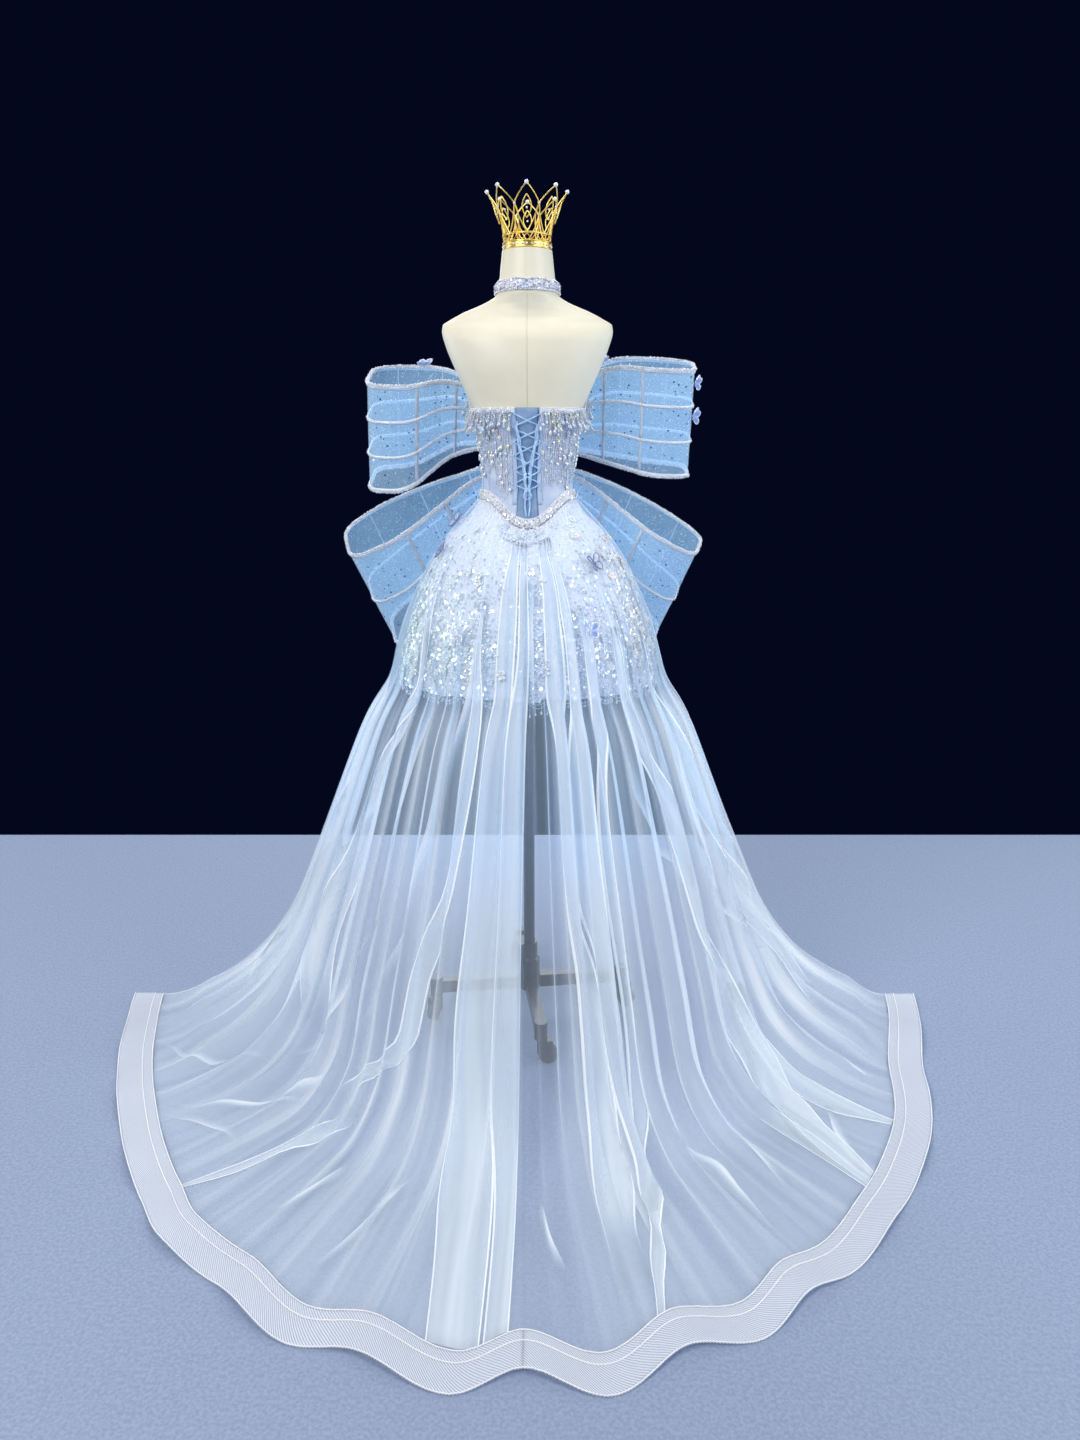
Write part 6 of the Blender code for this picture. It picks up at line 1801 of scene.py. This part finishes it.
class DRESS_OT_butterflies(bpy.types.Operator):
    """Model the applied butterflies with curved wings, wired edges, beaded bodies and feelers"""

    bl_idname = "dress.butterflies"
    bl_label = "Butterflies"

    def execute(self, context):
        finishes = {"blue": self.wing("butterfly_blue", (0.24, 0.36, 0.80), (0.50, 0.64, 1.0)),
                    "white": self.wing("butterfly_white", (0.60, 0.70, 0.95), (0.80, 0.86, 1.0), 0.28)}
        silver = Finish("butterfly_edges", (0.90, 0.93, 1.0), 0.2, Metallic=0.7)
        silver.mottled((0.72, 0.78, 0.92), (0.97, 0.98, 1.0), 200.0)
        line = Finish("butterfly_outlines", (0.16, 0.20, 0.42), 0.3, Metallic=0.2)
        line.mottled((0.13, 0.17, 0.38), (0.28, 0.35, 0.58), 200.0)
        for number, (turn, share, size, roll, kind) in enumerate(ON_TRAIN.rows, start=1):
            away = normal_of(train_skin, turn, share, 2.5, 0.02)
            up = (train_skin(turn, share + 0.02) - train_skin(turn, share - 0.02)).normalized()
            head = Matrix.Rotation(math.radians(roll), 3, away) @ up
            at = train_skin(turn, share) + away * 0.004
            if number in OUTLINED:
                looks = (finishes["white"], line, f"butterfly_{kind}", 0.36, 0.0012)
            else:
                looks = (finishes[kind], silver, f"butterfly_{kind}", 0.36, 0.0008)
            self.butterfly(f"train_butterfly_{number}", f"skirt_wings_{number}", size, at, away, head, *looks)
        for number, (loop, path, share, size) in enumerate(ON_BOW.rows, start=1):
            across = loop_axes(loop)[1]
            run = (loop_skin(loop, path + 0.02, share) - loop_skin(loop, path - 0.02, share)).normalized()
            if share == 1.0:
                at = loop_skin(loop, path, 1.0, 0.0026, 0.002)
                away, head = across - run * across.dot(run), run
            else:
                at = loop_skin(loop, path, share, 0.0, 0.0036)
                away, head = loop_station(loop, path)[3], across
            looks = (finishes["blue"], silver, "butterfly_blue", 0.85, 0.0008)
            self.butterfly(f"bow_butterfly_{number}", f"bow_wings_{number}", size, at, away, head, *looks)
        return {"FINISHED"}

    def wing(self, name, deep, pale, cover=0.93):
        """Iridescent organza, deep near the body and pale at the rim."""
        made = Finish(name, pale, 0.28, Sheen_Weight=0.4, Coat_Weight=0.3, Alpha=cover)
        rim = made.node("Attribute", {"attribute_name": "rim"}).outputs["Fac"]
        veins = made.node("TexVoronoi", {"feature": "DISTANCE_TO_EDGE"}, Vector=made.place(), Scale=160.0)
        made.feed("Base Color", made.ramp(rim, ((0.0, deep), (0.62, pale), (1.0, (0.80, 0.88, 1.0)))))
        made.bump(veins.outputs["Distance"], 0.5, 0.0006)
        return made

    def butterfly(self, node, name, size, at, away, head, finish, silver, slot, raised, edge):
        """Forewings and hindwings that curve up from a beaded body, with wired edges."""
        up = away.normalized()
        front = (head - up * head.dot(up)).normalized()
        turned = Matrix((front.cross(up), front, up)).transposed().to_4x4()
        place = Matrix.Translation(at) @ turned @ Matrix.Scale(size, 4)
        outlines = (
            ((0.05, 0.28), (0.36, 0.86), (0.74, 1.04), (1.02, 0.88), (0.98, 0.52), (0.66, 0.16),
             (0.06, 0.02)),
            ((0.06, 0.02), (0.52, 0.06), (0.80, -0.22), (0.76, -0.62), (0.46, -0.88), (0.20, -0.62),
             (0.05, -0.28)),
        )
        bm = bmesh.new()
        rim = bm.verts.layers.float.new("rim")
        edges = []
        for side in (-1, 1):
            for outline in outlines:
                loop = rounded([Vector((x, y, 0.0)) for x, y in (*outline, outline[0])], 4)[:-1]
                middle = sum(loop, Vector()) / len(loop)
                rings = []
                for scale in (0.35, 0.7, 0.9, 1.0):
                    ring = []
                    for spot in loop:
                        flat = middle.lerp(spot, scale)
                        rise = raised * flat.x + 0.10 * math.sin(flat.x * 3.2)
                        ring.append(bm.verts.new((side * flat.x, flat.y, rise)))
                        ring[-1][rim] = scale ** 3
                    rings.append(ring)
                faces = [bm.faces.new(rings[0] if side > 0 else rings[0][::-1])]
                for inner, outer in zip(rings, rings[1:]):
                    for a in range(len(inner)):
                        b = (a + 1) % len(inner)
                        corners = (inner[a], outer[a], outer[b], inner[b])
                        faces.append(bm.faces.new(corners if side < 0 else corners[::-1]))
                edges.append([place @ vertex.co for vertex in rings[-1]])
        bmesh.ops.recalc_face_normals(bm, faces=bm.faces)
        bmesh.ops.transform(bm, matrix=place, verts=bm.verts)
        wings = add_mesh(name, bm, finish)
        shell = wings.modifiers.new("wall", "SOLIDIFY")
        shell.thickness = 0.0005
        shell.offset = 0.0
        ride(wings, slot, node)
        ride(wire(name + "_edges", edges, edge, silver, closed=True, sides=1), slot)
        body = []
        for y, girth, tone in BODY_BEADS:
            spot = place @ Matrix.Translation((0.0, y, 0.06)) @ Matrix.Rotation(math.pi / 2, 4, "X")
            body.append((spot @ Matrix.Scale(girth, 4), tone))
        ride(strew(name + "_body", bead_shape(7, 5, 0.10), body, silver), slot)
        feelers = []
        for side in (-1, 1):
            stops = ((0.0, 0.36, 0.08), (side * 0.10, 0.62, 0.16), (side * 0.26, 0.86, 0.20))
            feelers.append(bent([place @ Vector(stop) for stop in stops]))
        ride(wire(name + "_feelers", feelers, 0.00035, silver, sides=1), slot)


class DRESS_OT_stage(bpy.types.Operator):
    """Set the pale floor, the soft studio lights and the camera"""

    bl_idname = "dress.stage"
    bl_label = "Stage"

    def execute(self, context):
        floor_finish = Finish("floor_pale", (0.30, 0.37, 0.53), 0.85)
        floor_finish.mottled((0.26, 0.33, 0.49), (0.34, 0.41, 0.57), 160.0)
        bm = bmesh.new()
        bmesh.ops.create_grid(bm, x_segments=1, y_segments=1, size=0.5)
        bmesh.ops.scale(bm, vec=(FLOOR_WIDE, FLOOR_DEEP, 1.0), verts=bm.verts)
        bmesh.ops.translate(bm, vec=(0.0, FLOOR_DEEP / 2 - FLOOR_BEHIND, -0.0006), verts=bm.verts)
        floor = add_mesh("studio_floor", bm, floor_finish)
        floor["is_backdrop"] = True
        world = bpy.data.worlds.new("soft_slate")
        world.use_nodes = True
        world.node_tree.nodes["Background"].inputs["Color"].default_value = (0.0012, 0.0024, 0.012, 1.0)
        world.node_tree.nodes["Background"].inputs["Strength"].default_value = 1.0
        context.scene.world = world
        context.scene.view_settings.view_transform = "Standard"
        target = PIVOT + Vector((0.0, 0.2, 1.0))
        for name, place, power, size, colour in (
            ("key_light", (2.4, 3.4, 3.3), sizes().key_power, 2.2, (1.0, 0.98, 0.95)),
            ("fill_light", (-3.4, 2.2, 2.2), 0.70 * sizes().key_power, 2.6, (0.88, 0.94, 1.0)),
            ("left_light", (4.0, -0.6, 1.6), 0.45 * sizes().key_power, 2.2, (0.90, 0.95, 1.0)),
            ("right_light", (-4.0, -0.8, 1.6), 0.45 * sizes().key_power, 2.2, (0.90, 0.95, 1.0)),
            ("back_light", (0.4, -3.4, 2.9), 0.75 * sizes().key_power, 2.4, (0.92, 0.96, 1.0)),
            ("top_light", (0.0, 0.6, 4.2), 0.40 * sizes().key_power, 2.4, (1.0, 1.0, 1.0)),
        ):
            light = bpy.data.lights.new(name, "AREA")
            light.energy = power
            light.size = size
            light.color = colour
            lamp = bpy.data.objects.new(name, light)
            lamp.location = PIVOT + Vector(place)
            lamp.rotation_euler = (target - lamp.location).to_track_quat("-Z", "Y").to_euler()
            context.scene.collection.objects.link(lamp)
        lens = bpy.data.cameras.new("camera")
        lens.lens = CAMERA_LENS
        camera = bpy.data.objects.new("camera", lens)
        camera.location = PIVOT + Vector(CAMERA_FROM_POLE)
        camera.rotation_euler = (math.radians(90 - CAMERA_PITCH), 0.0, math.pi)
        context.scene.collection.objects.link(camera)
        context.scene.camera = camera
        return {"FINISHED"}


STEPS = (
    "stage", "lacing", "form", "finial", "stand", "bodice", "fringe", "skirt", "train", "bow", "choker",
    "butterflies",
)


class DRESS_PT_panel(bpy.types.Panel):
    """The dress's steps in the sidebar"""

    bl_idname = "DRESS_PT_panel"
    bl_label = "Prom Dress"
    bl_space_type = "VIEW_3D"
    bl_region_type = "UI"
    bl_category = "Prom Dress"

    def draw(self, context):
        for name in DressSizes.__annotations__:
            self.layout.prop(context.scene.dress_sizes, name)
        for step in STEPS:
            self.layout.operator("dress." + step)


CLASSES = (
    DressSizes, DRESS_OT_stage, DRESS_OT_form, DRESS_OT_finial, DRESS_OT_stand, DRESS_OT_bodice,
    DRESS_OT_fringe, DRESS_OT_lacing, DRESS_OT_skirt, DRESS_OT_train, DRESS_OT_bow, DRESS_OT_choker,
    DRESS_OT_butterflies, DRESS_PT_panel,
)


def register():
    for item in CLASSES:
        bpy.utils.register_class(item)
    bpy.types.Scene.dress_sizes = bpy.props.PointerProperty(type=DressSizes)


def unregister():
    del bpy.types.Scene.dress_sizes
    for item in reversed(CLASSES):
        bpy.utils.unregister_class(item)


def main():
    register()
    for step in STEPS:
        getattr(bpy.ops.dress, step)()
    corners = {"cad": CAD_BOX, "visual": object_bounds()}
    {name: [list(corner) for corner in box] for name, box in corners.items()}


if __name__ == "__main__":
    main()
